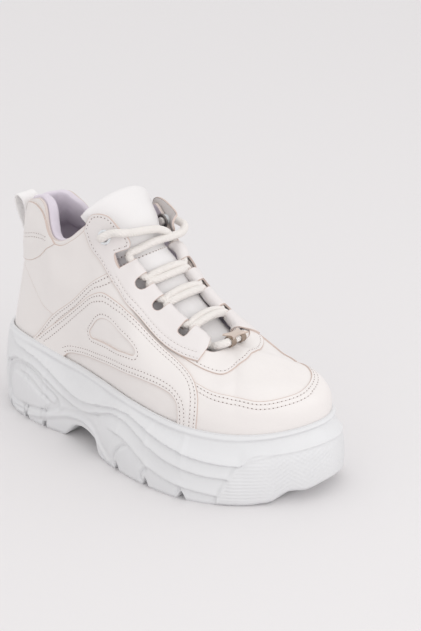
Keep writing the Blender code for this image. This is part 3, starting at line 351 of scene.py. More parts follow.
class Last:
    """The upper's outer surface over the shape of the foot.

    Its methods take stations, rises and distances outward as arrays or numbers that broadcast together.
    """

    def __init__(self, outline: Outline) -> None:
        """Works out its sections.

        Args:
            outline: The sole's outline, on whose rim it stands.
        """
        self.outline = outline
        rows = np.asarray(TOP, float)
        turn = np.array([1, 1, -1, 1, 1, 1, 1, 1.0])
        before, after = rows[1] * turn, rows[-2] * turn
        before[0], after[0] = 2 * rows[0, 0] - rows[1, 0], 2 * rows[-1, 0] - rows[-2, 0]
        self.tops = Track(np.vstack([before, rows, after]), limited=True)
        self.feet = Track(FOOT, limited=True)
        self.ridge = Track(RIDGE)
        self.reach = Track(REACH, limited=True)
        self.stations = np.linspace(0.0, ROUND, 1101)
        self.controls = self._smoothed(np.stack([self._section(station) for station in self.stations]))
        self.creases = [(smooth_run([(s * STATION_MM, r * RISE_MM) for s, r in crease.line], 3.0), crease)
                        for crease in CREASES]

    @staticmethod
    def _smoothed(controls: Array) -> Array:
        """The sections with the pulls of their walls evened out round the shoe."""
        shifts = np.arange(-40, 41)
        weights = hump(shifts, 20.0)
        weights /= weights.sum()
        pulls = controls[:-1, 3:9] - np.concatenate([controls[:-1, :3], controls[:-1, 9:]], axis=1)
        even = sum(weight * np.roll(pulls, shift, axis=0) for shift, weight in zip(shifts, weights))
        even = np.concatenate([even, even[:1]])
        return np.concatenate([controls[:, :3], controls[:, :3] + even[:, :3], controls[:, 9:] + even[:, 3:],
                               controls[:, 9:]], axis=1)

    def _edge(self, near: float, side: float) -> Array:
        """A point of the top edge, with y from the middle line towards the side."""
        x, half, z, _, medial_x, medial_half, medial_z = self.tops(near)
        medial = max(side, 0.0)
        return np.array([x + medial * medial_x, half + medial * medial_half, z + medial * medial_z])

    def _top(self, near: float, side: float, foot: Array) -> tuple[Array, Array]:
        """The top of a section.

        Args:
            near: Its near station.
            side: -1 for the lateral side and 1 for the medial one.
            foot: Its foot.

        Returns:
            The top and the direction in which the wall arrives there.
        """
        if near < THROAT_BASE:
            edge = self._edge(near, side)
            top = np.array([edge[0], middle_line(edge[0]) + side * edge[1], edge[2]])
            run = unit((self._edge(near + 0.03, side) - self._edge(near - 0.03, side)) * (1.0, side, 1.0))
            across = -side * unit(np.array([-run[1], run[0], 0.0]))
            upright = unit(np.array([0.0, 0.0, 1.0]) - run * run[2])
            lean = math.radians(self.tops(near)[3])
            arrival = math.sin(lean) * across + math.cos(lean) * upright
            reach = unit(top - foot)
            return top, unit(arrival * max(reach @ arrival, 0.3) + run * (reach @ run))
        share = (near - THROAT_BASE) / (TOE - THROAT_BASE)
        x, z = self.ridge(share)
        ahead, behind = self.ridge(min(share + STEP, 1.0)), self.ridge(max(share - STEP, 0.0))
        slope = (ahead[1] - behind[1]) / (ahead[0] - behind[0])
        top = np.array([x, middle_line(x), z])
        inward = unit(np.append(top[:2] - foot[:2], 0.0))
        return top, unit(inward + np.array([0.0, 0.0, inward[0] * slope]))

    def _section(self, station: float) -> Array:
        """The four control points of a section, as twelve numbers."""
        station = station % ROUND
        near, side = (station, -1.0) if station <= TOE else (ROUND - station, 1.0)
        inset, rim_z = self.outline.rim(station)
        plan, outward = self.outline.point(station, inset + RIM_WALL + RIM_GAP)
        foot = np.append(plan, rim_z)
        top, arrival = self._top(near, side, foot)
        lean, low_pull, high_pull = self.feet(near)
        leave = np.append(outward * math.sin(math.radians(lean)), math.cos(math.radians(lean)))
        reach = np.linalg.norm(top - foot)
        return np.concatenate([foot, foot + leave * reach * low_pull, top - arrival * reach * high_pull, top])

    def base(self, station: Array, rise: Array) -> Array:
        """Points of the plain surface. Below rise 0 the wall runs straight down into the sole's cup."""
        station = np.mod(station, ROUND)
        station, rise = np.broadcast_arrays(station, np.asarray(rise, float))
        held = [np.interp(station, self.stations, column) for column in self.controls.T]
        foot, low, high, top = (np.stack(held[k:k + 3], -1) for k in (0, 3, 6, 9))
        t = np.clip(rise, 0.0, 1.0)[..., None]
        points = foot * (1 - t) ** 3 + low * 3 * t * (1 - t) ** 2 + high * 3 * t * t * (1 - t) + top * t ** 3
        points[..., 2] += np.minimum(rise, 0.0) * (CUP_DEPTH - CUP_ROOM)
        return points

    def normal(self, station: Array, rise: Array) -> Array:
        """Outward normals of the plain surface. On the vamp's ridge both sides share one normal."""
        station, rise = np.broadcast_arrays(np.mod(station, ROUND), np.asarray(rise, float))
        ridge = np.minimum(station, ROUND - station) > THROAT_BASE
        capped = np.where(ridge, np.minimum(rise, 0.97), rise)
        own, other = (self._slope(place, capped) for place in (station, ROUND - station))
        share = np.where(ridge, 0.5 * smoothstep(0.90, 1.0, rise), 0.0)[..., None]
        return unit(own * (1.0 - share) + other * share)

    def _slope(self, station: Array, rise: Array) -> Array:
        """Normals of one side's surface."""
        along = self.base(station + STEP, rise) - self.base(station - STEP, rise)
        climb = (self.base(station, np.clip(rise + STEP, STEP, 1.0))
                 - self.base(station, np.clip(rise - STEP, 0.0, 1.0 - STEP)))
        return unit(np.cross(along, climb))

    def relief(self, station: Array, rise: Array) -> Array:
        """Creases and gentle unevenness, in mm outward. They die out towards the rim and the top edge."""
        u, v = np.broadcast_arrays(np.mod(station, ROUND) * STATION_MM, np.asarray(rise, float) * RISE_MM)
        places = np.stack([u, v], -1)
        height = 0.16 * np.sin(u * 0.051 + 1.3 + 1.2 * np.sin(v * 0.043)) * np.sin(v * 0.083 + u * 0.021)
        height = height + 0.07 * np.sin(u * 0.19 + v * 0.07) * np.sin(v * 0.16 - u * 0.06 + 0.8)
        for line, crease in self.creases:
            gaps = np.full(u.shape, 1e9)
            for spot in line:
                gaps = np.minimum(gaps, np.sum((places - spot) ** 2, -1))
            height = height - crease.depth * np.exp(-gaps / crease.width ** 2)
        return height * smoothstep(0.0, 0.10, rise) * (1.0 - smoothstep(0.86, 0.99, rise))

    def point(self, station: Array, rise: Array, out: Array = 0.0) -> Array:
        """Points of the real surface, creases included, moved outward."""
        lift = self.relief(station, rise) + np.asarray(out)
        return self.base(station, rise) + self.normal(station, rise) * lift[..., None]

    def edge_frame(self, near: Array, side: Side) -> tuple[Array, Array, Array]:
        """The top edge of the upper.

        Args:
            near: Near stations.
            side: The side of the shoe.

        Returns:
            Its points, the directions on past the edge and the outward normals there.
        """
        station = side.station(near)
        ones = np.ones_like(station, dtype=float)
        point, normal = self.base(station, ones), self.normal(station, ones)
        along = unit(self.base(station + STEP, ones) - self.base(station - STEP, ones))
        onward = unit(np.cross(normal, along))
        return point, onward * np.where(onward[..., 2:] < 0.0, -1.0, 1.0), normal

    def fold_axis(self, near: float, side: Side) -> Array:
        """The middle of the lace inside a loop."""
        edge, onward, normal = self.edge_frame(np.array(near), side)
        return edge + normal * (STAY_FACE - FOLD_RADIUS) + onward * self.reach(near)


# ---- meshes

def quads(rows: int, columns: int, closed: bool = False, rows_closed: bool = False) -> Array:
    """Faces of a grid of points that are numbered row by row.

    Args:
        rows: Number of rows.
        columns: Number of columns.
        closed: Joins the last column to the first.
        rows_closed: Joins the last row to the first.

    Returns:
        Four vertex numbers for each face.
    """
    i = np.arange(rows if rows_closed else rows - 1)[:, None]
    j = np.arange(columns if closed else columns - 1)[None, :]
    up, on = (i + 1) % rows, (j + 1) % columns
    corners = np.broadcast_arrays(i * columns + j, i * columns + on, up * columns + on, up * columns + j)
    return np.stack(corners, -1).reshape(-1, 4)


class Form:
    """Vertices and faces collected for one piece, in the shoe's millimetres."""

    def __init__(self) -> None:
        """Starts empty."""
        self.blocks: list[Array] = []
        self.faces: list[tuple[int, ...]] = []
        self.slots: list[int] = []
        self.count = 0

    def add(self, points: Array, faces: Sequence = (), material: int = 0) -> int:
        """Adds a block of vertices.

        Args:
            points: Their places.
            faces: Faces between them, counted from the block's first.
            material: Material slot of the faces.

        Returns:
            The number of the first vertex.
        """
        start = self.count
        self.blocks.append(np.asarray(points, float).reshape(-1, 3))
        self.count += len(self.blocks[-1])
        self.link(np.asarray(faces, int) + start, material)
        return start

    def link(self, faces: Sequence, material: int = 0) -> None:
        """Adds faces between vertices that are already here."""
        self.faces.extend(map(tuple, np.asarray(faces).tolist()))
        self.slots.extend([material] * len(faces))

    def grid(self, points: Array, closed: bool = False, material: int = 0, rows_closed: bool = False) -> int:
        """Adds a grid.

        Args:
            points: Array of rows, columns and coordinates.
            closed: Joins the last column to the first.
            material: Material slot of the faces.
            rows_closed: Joins the last row to the first.

        Returns:
            The number of its first vertex.
        """
        return self.add(points, quads(*points.shape[:2], closed, rows_closed), material)

    def strips(self, rings: Sequence[Array], material: int, keep: Array | slice = slice(None)) -> None:
        """Joins rings of vertices that are already here.

        Args:
            rings: The vertices' numbers, ring by ring.
            material: Material slot of the faces.
            keep: Which faces round each ring to make.
        """
        for lower, higher in zip(rings, rings[1:]):
            corners = np.stack([lower, np.roll(lower, -1), np.roll(higher, -1), higher], -1)
            self.link(corners[keep], material)

    def ladder(self, ring: Array, rungs: int) -> None:
        """Closes a ring that runs heel, lateral side, toe, medial side with rungs from side to side."""
        half = len(ring) // 2
        lateral, medial = ring[:half + 1], ring[np.arange(len(ring), half - 1, -1) % len(ring)]
        self.grid(lateral + (medial - lateral) * np.linspace(0.0, 1.0, rungs + 1)[:, None, None])

    def capped(self, tubes: Array, material: int = 0) -> None:
        """Adds tubes with closed ends.

        Args:
            tubes: Array of tubes, rings, sides and coordinates.
            material: Material slot of the faces.
        """
        count, rings, sides = tubes.shape[:3]
        firsts = np.arange(count)[:, None, None] * rings * sides
        start = self.add(tubes, (firsts + quads(rings, sides, True)).reshape(-1, 4), material)
        for first in firsts.ravel() + start:
            last = first + (rings - 1) * sides
            self.link([range(first, first + sides), range(last, last + sides)], material)

    def tube(self, path: Array, radii: Array) -> None:
        """Adds a tube with closed ends.

        Args:
            path: Its middle line.
            radii: Its radius at each point of the path and each side.
        """
        along = unit(np.gradient(path, axis=0))
        normals = np.empty_like(path)
        normal = np.array([0.0, 0.0, 1.0])
        for k, run in enumerate(along):
            normal = unit(normal - run * (normal @ run))
            normals[k] = normal
        turns = full_turn(radii.shape[1])[:, None]
        ring = normals[:, None] * np.cos(turns) + np.cross(along, normals)[:, None] * np.sin(turns)
        self.capped((path[:, None] + radii[..., None] * ring)[None])

    def piece(self, name: str, materials: Materials, node: str = "", closed: bool = True,
              angle: float = 42.0) -> bpy.types.Object:
        """Makes the object, riding on the shoe's one body.

        Args:
            name: The piece's name.
            materials: Its materials, by slot.
            node: The frame's node that it replaces, if it replaces one.
            closed: Turns the faces of closed parts outward; open sheets already face the right way.
            angle: Edges sharper than this, in degrees, are shaded as edges.

        Returns:
            The new piece.
        """
        mesh = bpy.data.meshes.new(name)
        mesh.from_pydata(to_metres(np.concatenate(self.blocks)), [], self.faces)
        for material in materials:
            mesh.materials.append(material)
        mesh.polygons.foreach_set("material_index", self.slots)
        bm = bmesh.new()
        bm.from_mesh(mesh)
        bmesh.ops.remove_doubles(bm, verts=bm.verts, dist=WELD)
        bmesh.ops.delete(bm, geom=[vert for vert in bm.verts if not vert.link_faces], context="VERTS")
        if closed:
            bmesh.ops.recalc_face_normals(bm, faces=bm.faces)
        bm.to_mesh(mesh)
        bm.free()
        mesh.shade_smooth()
        mesh.set_sharp_from_angle(angle=math.radians(angle))
        obj = bpy.data.objects.new(name, mesh)
        bpy.context.scene.collection.objects.link(obj)
        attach(obj, BODY)
        if node:
            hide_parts(node)
        LOG.info("%s: %d faces", name, len(mesh.polygons))
        return obj


def inside(points: Array, outline: Array) -> Array:
    """Which plan points lie inside a closed outline.

    Args:
        points: The points.
        outline: The outline's points.

    Returns:
        True or False for each point.
    """
    x, y = points[:, 0, None], points[:, 1, None]
    a, b = outline, np.roll(outline, -1, axis=0)
    crosses = (a[:, 1] > y) != (b[:, 1] > y)
    rise = np.where(b[:, 1] == a[:, 1], 1e-9, b[:, 1] - a[:, 1])
    reach = (b[:, 0] - a[:, 0]) * (y - a[:, 1]) / rise + a[:, 0]
    return (crosses & (x < reach)).sum(axis=1) % 2 == 1


def line_distance(points: Array, line: Array, closed: bool = False) -> Array:
    """Distance of plan points from a line.

    Args:
        points: The points.
        line: The line's points.
        closed: Joins its last point to its first.

    Returns:
        The distance of each point.
    """
    a = line if closed else line[:-1]
    b = np.roll(line, -1, axis=0) if closed else line[1:]
    nearest = np.full(points.shape[:-1], 1e9)
    for start, end in zip(a, b):
        run = end - start
        share = np.clip(((points - start) @ run) / max(run @ run, 1e-9), 0.0, 1.0)
        nearest = np.minimum(nearest, np.linalg.norm(points - start - share[..., None] * run, axis=-1))
    return nearest


def inner_distance(points: Array, outline: Array) -> Array:
    """Distance of plan points inside a closed outline, negative outside it."""
    flat = points.reshape(-1, 2)
    gaps = line_distance(flat, outline, closed=True)
    return np.where(inside(flat, outline), gaps, -gaps).reshape(points.shape[:-1])


def turned(outline: Array, clockwise: bool = False) -> Array:
    """A closed outline, running anticlockwise unless told otherwise."""
    ahead = np.roll(outline, -1, axis=0)
    area = np.sum(outline[:, 0] * ahead[:, 1] - ahead[:, 0] * outline[:, 1])
    return outline[::-1] if (area < 0.0) != clockwise else outline


def triangulate(loops: list[Array], extra: Array, step: float) -> tuple[Array, Array]:
    """Fills an outline with triangles.

    Args:
        loops: The outline, then any holes in it.
        extra: Further points that the triangles must meet.
        step: Spacing of the points between.

    Returns:
        The points, which start with those of the loops, and the triangles.
    """
    outline = loops[0]
    low, high = outline.min(axis=0), outline.max(axis=0)
    x, y = np.meshgrid(np.arange(low[0], high[0], step), np.arange(low[1], high[1], step))
    x = x + (np.arange(len(x)) % 2)[:, None] * step / 2
    spots = np.stack([x.ravel(), y.ravel()], -1)
    if len(extra):
        gaps = np.min([np.sum((spots - spot) ** 2, axis=1) for spot in extra], axis=0)
        spots = np.concatenate([extra, spots[gaps > (step * 0.45) ** 2]])
    room = np.where(inside(spots, outline), line_distance(spots, outline, True), 0.0)
    for hole in loops[1:]:
        room = np.minimum(room, np.where(inside(spots, hole), 0.0, line_distance(spots, hole, True)))
    spots = spots[room > min(step * 0.45, 0.8)]
    edges = []
    for loop in loops:
        start, count = len(edges), len(loop)
        edges += [(start + k, start + (k + 1) % count) for k in range(count)]
    points = np.concatenate([*loops, spots])
    _, _, faces, origins, _, _ = delaunay_2d_cdt([Vector(point) for point in points], edges, [], 0, 1e-6)
    source = np.array([origin[0] for origin in origins])
    triangles = source[np.array([tuple(face) for face in faces])]
    middles = points[triangles].mean(axis=1)
    keep = inside(middles, outline)
    for hole in loops[1:]:
        keep &= ~inside(middles, hole)
    triangles = triangles[keep]
    a, b, c = (points[triangles[:, k]] for k in range(3))
    area = (b[:, 0] - a[:, 0]) * (c[:, 1] - a[:, 1]) - (b[:, 1] - a[:, 1]) * (c[:, 0] - a[:, 0])
    triangles[area < 0.0] = triangles[area < 0.0][:, ::-1]
    return points, triangles


# ---- finishes

class Effects:
    """Shader node groups that more than one finish uses, each made once."""

    def __init__(self) -> None:
        """Makes the groups."""
        self.grain = self._grain()
        self.tone = self._tone()
        self.weave = self._weave()

    @staticmethod
    def _group(name: str, output: str, **inputs: float) -> tuple:
        """Starts a group.

        Args:
            name: Its name.
            output: The name of its number output.
            inputs: Its number inputs with their values.

        Returns:
            The group, its input and output nodes, and the place in the object's coordinates.
        """
        group = bpy.data.node_groups.new(name, "ShaderNodeTree")
        for word, value in inputs.items():
            socket = group.interface.new_socket(word, in_out="INPUT", socket_type="NodeSocketFloat")
            socket.default_value = value
        group.interface.new_socket(output, in_out="OUTPUT", socket_type="NodeSocketFloat")
        start, end = group.nodes.new("NodeGroupInput"), group.nodes.new("NodeGroupOutput")
        return group, start, end, group.nodes.new("ShaderNodeTexCoord").outputs["Object"]

    @staticmethod
    def _math(group: bpy.types.NodeTree, operation: str, *values: object) -> bpy.types.NodeSocket:
        """Adds a math node.

        Args:
            group: Where it goes.
            operation: What it works out.
            values: Sockets or numbers that it works on.

        Returns:
            Its result.
        """
        node = group.nodes.new("ShaderNodeMath")
        node.operation = operation
        for socket, value in zip(node.inputs, values):
            if isinstance(value, bpy.types.NodeSocket):
                group.links.new(value, socket)
            else:
                socket.default_value = value
        return node.outputs[0]

    def _grain(self) -> bpy.types.NodeTree:
        """Pebbled grain of coated leather: cells with rounded tops and fine noise over them."""
        group, start, end, place = self._group("pebble_grain", "Height", Scale=900.0, Fineness=0.35)
        cells = group.nodes.new("ShaderNodeTexVoronoi")
        noise = group.nodes.new("ShaderNodeTexNoise")
        noise.inputs["Detail"].default_value = 3.0
        for node, times in ((cells, 1.0), (noise, 2.3)):
            group.links.new(place, node.inputs["Vector"])
            scale = self._math(group, "MULTIPLY", start.outputs["Scale"], times)
            group.links.new(scale, node.inputs["Scale"])
        domes = self._math(group, "SUBTRACT", 1.0, cells.outputs["Distance"])
        fine = self._math(group, "MULTIPLY", noise.outputs["Fac"], start.outputs["Fineness"])
        group.links.new(self._math(group, "ADD", domes, fine), end.inputs["Height"])
        return group

    def _tone(self) -> bpy.types.NodeTree:
        """Slow cloudy variation from 0 to 1."""
        group, start, end, place = self._group("cloudy_tone", "Cloud", Scale=18.0)
        noise = group.nodes.new("ShaderNodeTexNoise")
        group.links.new(place, noise.inputs["Vector"])
        group.links.new(start.outputs["Scale"], noise.inputs["Scale"])
        group.links.new(noise.outputs["Fac"], end.inputs["Cloud"])
        return group

    def _weave(self) -> bpy.types.NodeTree:
        """A fine knit: two crossed families of rounded threads."""
        group, start, end, place = self._group("fine_weave", "Height", Scale=520.0)
        waves = []
        for direction in ("X", "Z"):
            wave = group.nodes.new("ShaderNodeTexWave")
            wave.bands_direction = direction
            wave.inputs["Distortion"].default_value = 0.6
            group.links.new(place, wave.inputs["Vector"])
            group.links.new(start.outputs["Scale"], wave.inputs["Scale"])
            waves.append(wave.outputs["Fac"])
        group.links.new(self._math(group, "MULTIPLY", *waves), end.inputs["Height"])
        return group


class Texture(Enum):
    """Which shared group shapes a finish's fine surface."""

    GRAIN = "grain"
    WEAVE = "weave"


@dataclass(frozen=True)
class Finish:
    """A material.

    Attributes:
        name: The material's name.
        color: Its base colour, linear.
        shade: The colour it drifts to in patches.
        roughness: Its roughness.
        texture: The shared group for its fine surface.
        scale: Cells of the grain to a metre, or about a third of the threads of the weave.
        depth: Height of the fine surface in mm.
        metallic: 1 for bare metal.
        coat: Weight of a clear coat.
        sheen: Weight of cloth's soft sheen.
    """

    name: str
    color: Triple
    shade: Triple
    roughness: float = 0.5
    texture: Texture = Texture.GRAIN
    scale: float = 900.0
    depth: float = 0.03
    metallic: float = 0.0
    coat: float = 0.0
    sheen: float = 0.0

    def material(self, effects: Effects) -> bpy.types.Material:
        """Makes the material.

        Args:
            effects: The shared node groups.

        Returns:
            The new material.
        """
        material = bpy.data.materials.new(self.name)
        material.use_nodes = True
        tree = material.node_tree
        shader = tree.nodes["Principled BSDF"]
        shader.inputs["Roughness"].default_value = self.roughness
        shader.inputs["Metallic"].default_value = self.metallic
        shader.inputs["Coat Weight"].default_value = self.coat
        shader.inputs["Coat Roughness"].default_value = 0.25
        shader.inputs["Sheen Weight"].default_value = self.sheen
        tone = tree.nodes.new("ShaderNodeGroup")
        tone.node_tree = effects.tone
        mix = tree.nodes.new("ShaderNodeMix")
        mix.data_type = "RGBA"
        mix.inputs["A"].default_value = (*self.color, 1.0)
        mix.inputs["B"].default_value = (*self.shade, 1.0)
        tree.links.new(tone.outputs["Cloud"], mix.inputs["Factor"])
        tree.links.new(mix.outputs["Result"], shader.inputs["Base Color"])
        if self.depth:
            fine = tree.nodes.new("ShaderNodeGroup")
            fine.node_tree = effects.grain if self.texture is Texture.GRAIN else effects.weave
            fine.inputs["Scale"].default_value = self.scale
            bump = tree.nodes.new("ShaderNodeBump")
            bump.inputs["Distance"].default_value = self.depth * MM
            tree.links.new(fine.outputs["Height"], bump.inputs["Height"])
            tree.links.new(bump.outputs["Normal"], shader.inputs["Normal"])
        return material


class Palette:
    """Every finish of the shoe, made once."""

    def __init__(self, effects: Effects) -> None:
        """Makes the materials.

        Args:
            effects: The node groups that they share.
        """
        leather, weave = dict(roughness=0.46, scale=1300.0, depth=0.035), Texture.WEAVE
        finishes = dict(
            leather=Finish("white_leather", (0.83, 0.797, 0.780), (0.80, 0.763, 0.745), **leather),
            facing=Finish("facing_leather", (0.79, 0.757, 0.748), (0.765, 0.725, 0.715), **leather),
            tongue=Finish("tongue_leather", (0.82, 0.805, 0.805), (0.80, 0.78, 0.78), **leather),
            raw=Finish("raw_edge", (0.60, 0.49, 0.44), (0.68, 0.58, 0.53), 0.8, scale=2600.0, depth=0.05),
            lip=Finish("folded_edge", (0.70, 0.62, 0.58), (0.66, 0.58, 0.54), **leather),
            # Near-black finish of the discs at the needle holes: painted shade inside the holes.
            dark=Finish("stitch_hole_painted_shade", (0.20, 0.155, 0.14), (0.26, 0.20, 0.18), 0.9, depth=0.0),
            thread=Finish("white_thread", (0.84, 0.80, 0.78), (0.78, 0.74, 0.72), 0.7, weave, 2400.0, 0.03),
            # Dark brown-grey finish for the skin seen through the eyestay's slots: painted shade in the
            # slots.
            backing=Finish("slot_backing", (0.60, 0.54, 0.51), (0.50, 0.44, 0.42), 0.9, weave, 900.0, 0.05),
            suede=Finish("facing_back", (0.80, 0.77, 0.76), (0.68, 0.64, 0.62), 0.9, scale=700.0, depth=0.10),
            rubber=Finish("white_rubber", (0.745, 0.745, 0.755), (0.735, 0.74, 0.75), 0.42, scale=5200.0,
                          depth=0.012),
            lining=Finish("lilac_lining", (0.79, 0.735, 0.80), (0.67, 0.61, 0.69), 0.9, weave, 420.0, 0.10,
                          sheen=0.25),
            footbed=Finish("footbed_cloth", (0.60, 0.55, 0.61), (0.54, 0.50, 0.56), 0.9, weave, 420.0, 0.10),
            tape=Finish("white_tape", (0.88, 0.865, 0.86), (0.85, 0.835, 0.83), 0.6, weave, 700.0, 0.04),
            cord=Finish("ivory_cord", (0.92, 0.885, 0.855), (0.885, 0.84, 0.80), 0.78, weave, 1700.0, 0.06,
                        sheen=0.15),
            enamel=Finish("white_enamel", (0.80, 0.83, 0.85), (0.76, 0.80, 0.82), 0.28, depth=0.0, coat=0.4),
            steel=Finish("dark_metal", (0.30, 0.28, 0.27), (0.22, 0.20, 0.20), 0.35, depth=0.0, metallic=1.0),
            plate=Finish("champagne_metal", (0.74, 0.64, 0.57), (0.66, 0.56, 0.49), 0.32, scale=4000.0,
                         depth=0.006, metallic=1.0),
            sleeve=Finish("bronze_sleeve", (0.42, 0.34, 0.28), (0.34, 0.27, 0.22), 0.38, depth=0.0,
                          metallic=1.0),
        )
        self.materials = {word: finish.material(effects) for word, finish in finishes.items()}

    def __call__(self, *words: str) -> list[bpy.types.Material]:
        """The materials named, in that order."""
        return [self.materials[word] for word in words]


# ---- sheets and stitches

@dataclass(frozen=True)
class Edge:
    """One run of a panel's outline.

    Attributes:
        points: Its (station, rise) points; the next run starts at the last.
        raw: Whether it is a cut edge that shows, and not one that goes under another piece.
        fade: Distance in mm over which the panel thins out towards this run, or 0.
        joined: Whether it meets the same run of the other side's panel on the ridge.
        flat: Whether it is smooth in the plan, and not on the shoe.
    """

    points: Pairs
    raw: bool = True
    fade: float = 0.0
    joined: bool = False
    flat: bool = False


@dataclass(frozen=True)
class Seam:
    """A row of stitches beside one run of a panel's outline.

    Attributes:
        run: The run's number; the panel's windows follow its edges.
        inset: Distance in mm from the run into the panel.
        first: Where along the run it starts, as a share.
        last: Where along the run it ends.
    """

    run: int
    inset: float
    first: float = 0.0
    last: float = 1.0


@dataclass
class StitchRow:
    """A row of raised threads between needle holes.

    Attributes:
        pitch: Length of a stitch in mm.
        gap: Length of the hole between two threads in mm.
        radius: Radius of the thread in mm.
        hole: Radius of a hole in mm.
        rings: Rings along a thread.
        sides: Sides of a thread and of a hole.
    """

    pitch: float = 2.7
    gap: float = 0.95
    radius: float = 0.34
    hole: float = 0.46
    rings: int = 5
    sides: int = 6

    def add(self, form: Form, path: Array, normals: Array) -> None:
        """Sews along a path on a surface.

        Args:
            form: Collects the threads in slot 0, and in slot 1 the dark discs at the holes, which are painted
                shade inside them.
            path: Close points of the path in mm.
            normals: The surface's normals there.
        """
        lengths = along_lengths(path)
        count = int(lengths[-1] // self.pitch)
        if count < 1:
            return
        pitch = lengths[-1] / count

        def at(places: Array) -> tuple[Array, Array]:
            """Points of the path at lengths along it, and the normals there."""
            spots, outs = (np.stack([np.interp(places, lengths, column) for column in values.T], -1)
                           for values in (path, normals))
            return spots, unit(outs)

        share = np.linspace(0.0, 1.0, self.rings)
        spots, outs = at(np.arange(count)[:, None] * pitch + self.gap / 2 + share * (pitch - self.gap))
        arch = np.sin(share * math.pi)
        spots = spots + outs * (arch * 0.30 - 0.10)[None, :, None]
        across = unit(np.cross(unit(np.gradient(spots, axis=1)), outs))
        radii = self.radius * (0.45 + 0.55 * np.sqrt(arch))
        turns = full_turn(self.sides)[:, None]
        ring = across[:, :, None] * np.cos(turns) + outs[:, :, None] * np.sin(turns)
        form.capped(spots[:, :, None] + ring * radii[:, None, None])
        # Dark discs at the needle holes, painted shade inside the holes.
        spots, outs = at(np.arange(count + 1) * pitch)
        slope = unit(np.gradient(spots, axis=0))
        rim = slope[:, None] * np.cos(turns) * 1.15 + np.cross(slope, outs)[:, None] * np.sin(turns)
        form.capped(np.stack([spots[:, None] + rim * self.hole + outs[:, None] * 0.05,
                              spots[:, None] + rim * self.hole * 0.7 - outs[:, None] * 0.30], axis=1), 1)


@dataclass(frozen=True)
class Panel:
    """A flat cut piece laid on the upper.

    Attributes:
        name: Its name, used for the piece.
        edges: Its outline, run by run.
        windows: Closed outlines of holes in it.
        seams: Its rows of stitches along its edges.
        rows: Its other rows of stitches, as (station, rise) points.
        thick: How far it stands out in mm.
        swell: Further height of its padded middle.
        swell_width: Distance from its edge at which that is reached.
    """

    name: str
    edges: tuple[Edge, ...]
    windows: tuple[Pairs, ...] = ()
    seams: tuple[Seam, ...] = ()
    rows: tuple[Pairs, ...] = ()
    thick: float = 0.7
    swell: float = 0.0
    swell_width: float = 14.0


@dataclass
class Cut:
    """A panel drawn in the flat.

    Attributes:
        panel: What is cut.
        runs: The runs of its outline.
        loops: Its outline, then its windows, all closed.
        joined: Which stretches of its outline meet the other side's panel.
        paths: Its rows of stitches.
        furrow: How deep a row pulls it in, in mm.
    """

    panel: Panel
    runs: list[Array]
    loops: list[Array]
    joined: Array
    paths: list[Array]
    furrow: float = 0.24

    def height(self, places: Array) -> Array:
        """How far its face stands out.

        Args:
            places: Plan points.

        Returns:
            The height at each of them in mm.
        """
        high = np.full(len(places), float(self.panel.thick))
        for path in self.paths:
            high = high - self.furrow * hump(line_distance(places, path), 0.85)
        if self.panel.swell:
            room = line_distance(places, self.loops[0], True)
            high = high + self.panel.swell * smoothstep(0.0, self.panel.swell_width, room)
        for run, edge in zip(self.runs, self.panel.edges):
            if edge.fade:
                share = smoothstep(0.0, edge.fade, line_distance(places, run))
                high = high * share - 0.4 * (1.0 - share)
        return high


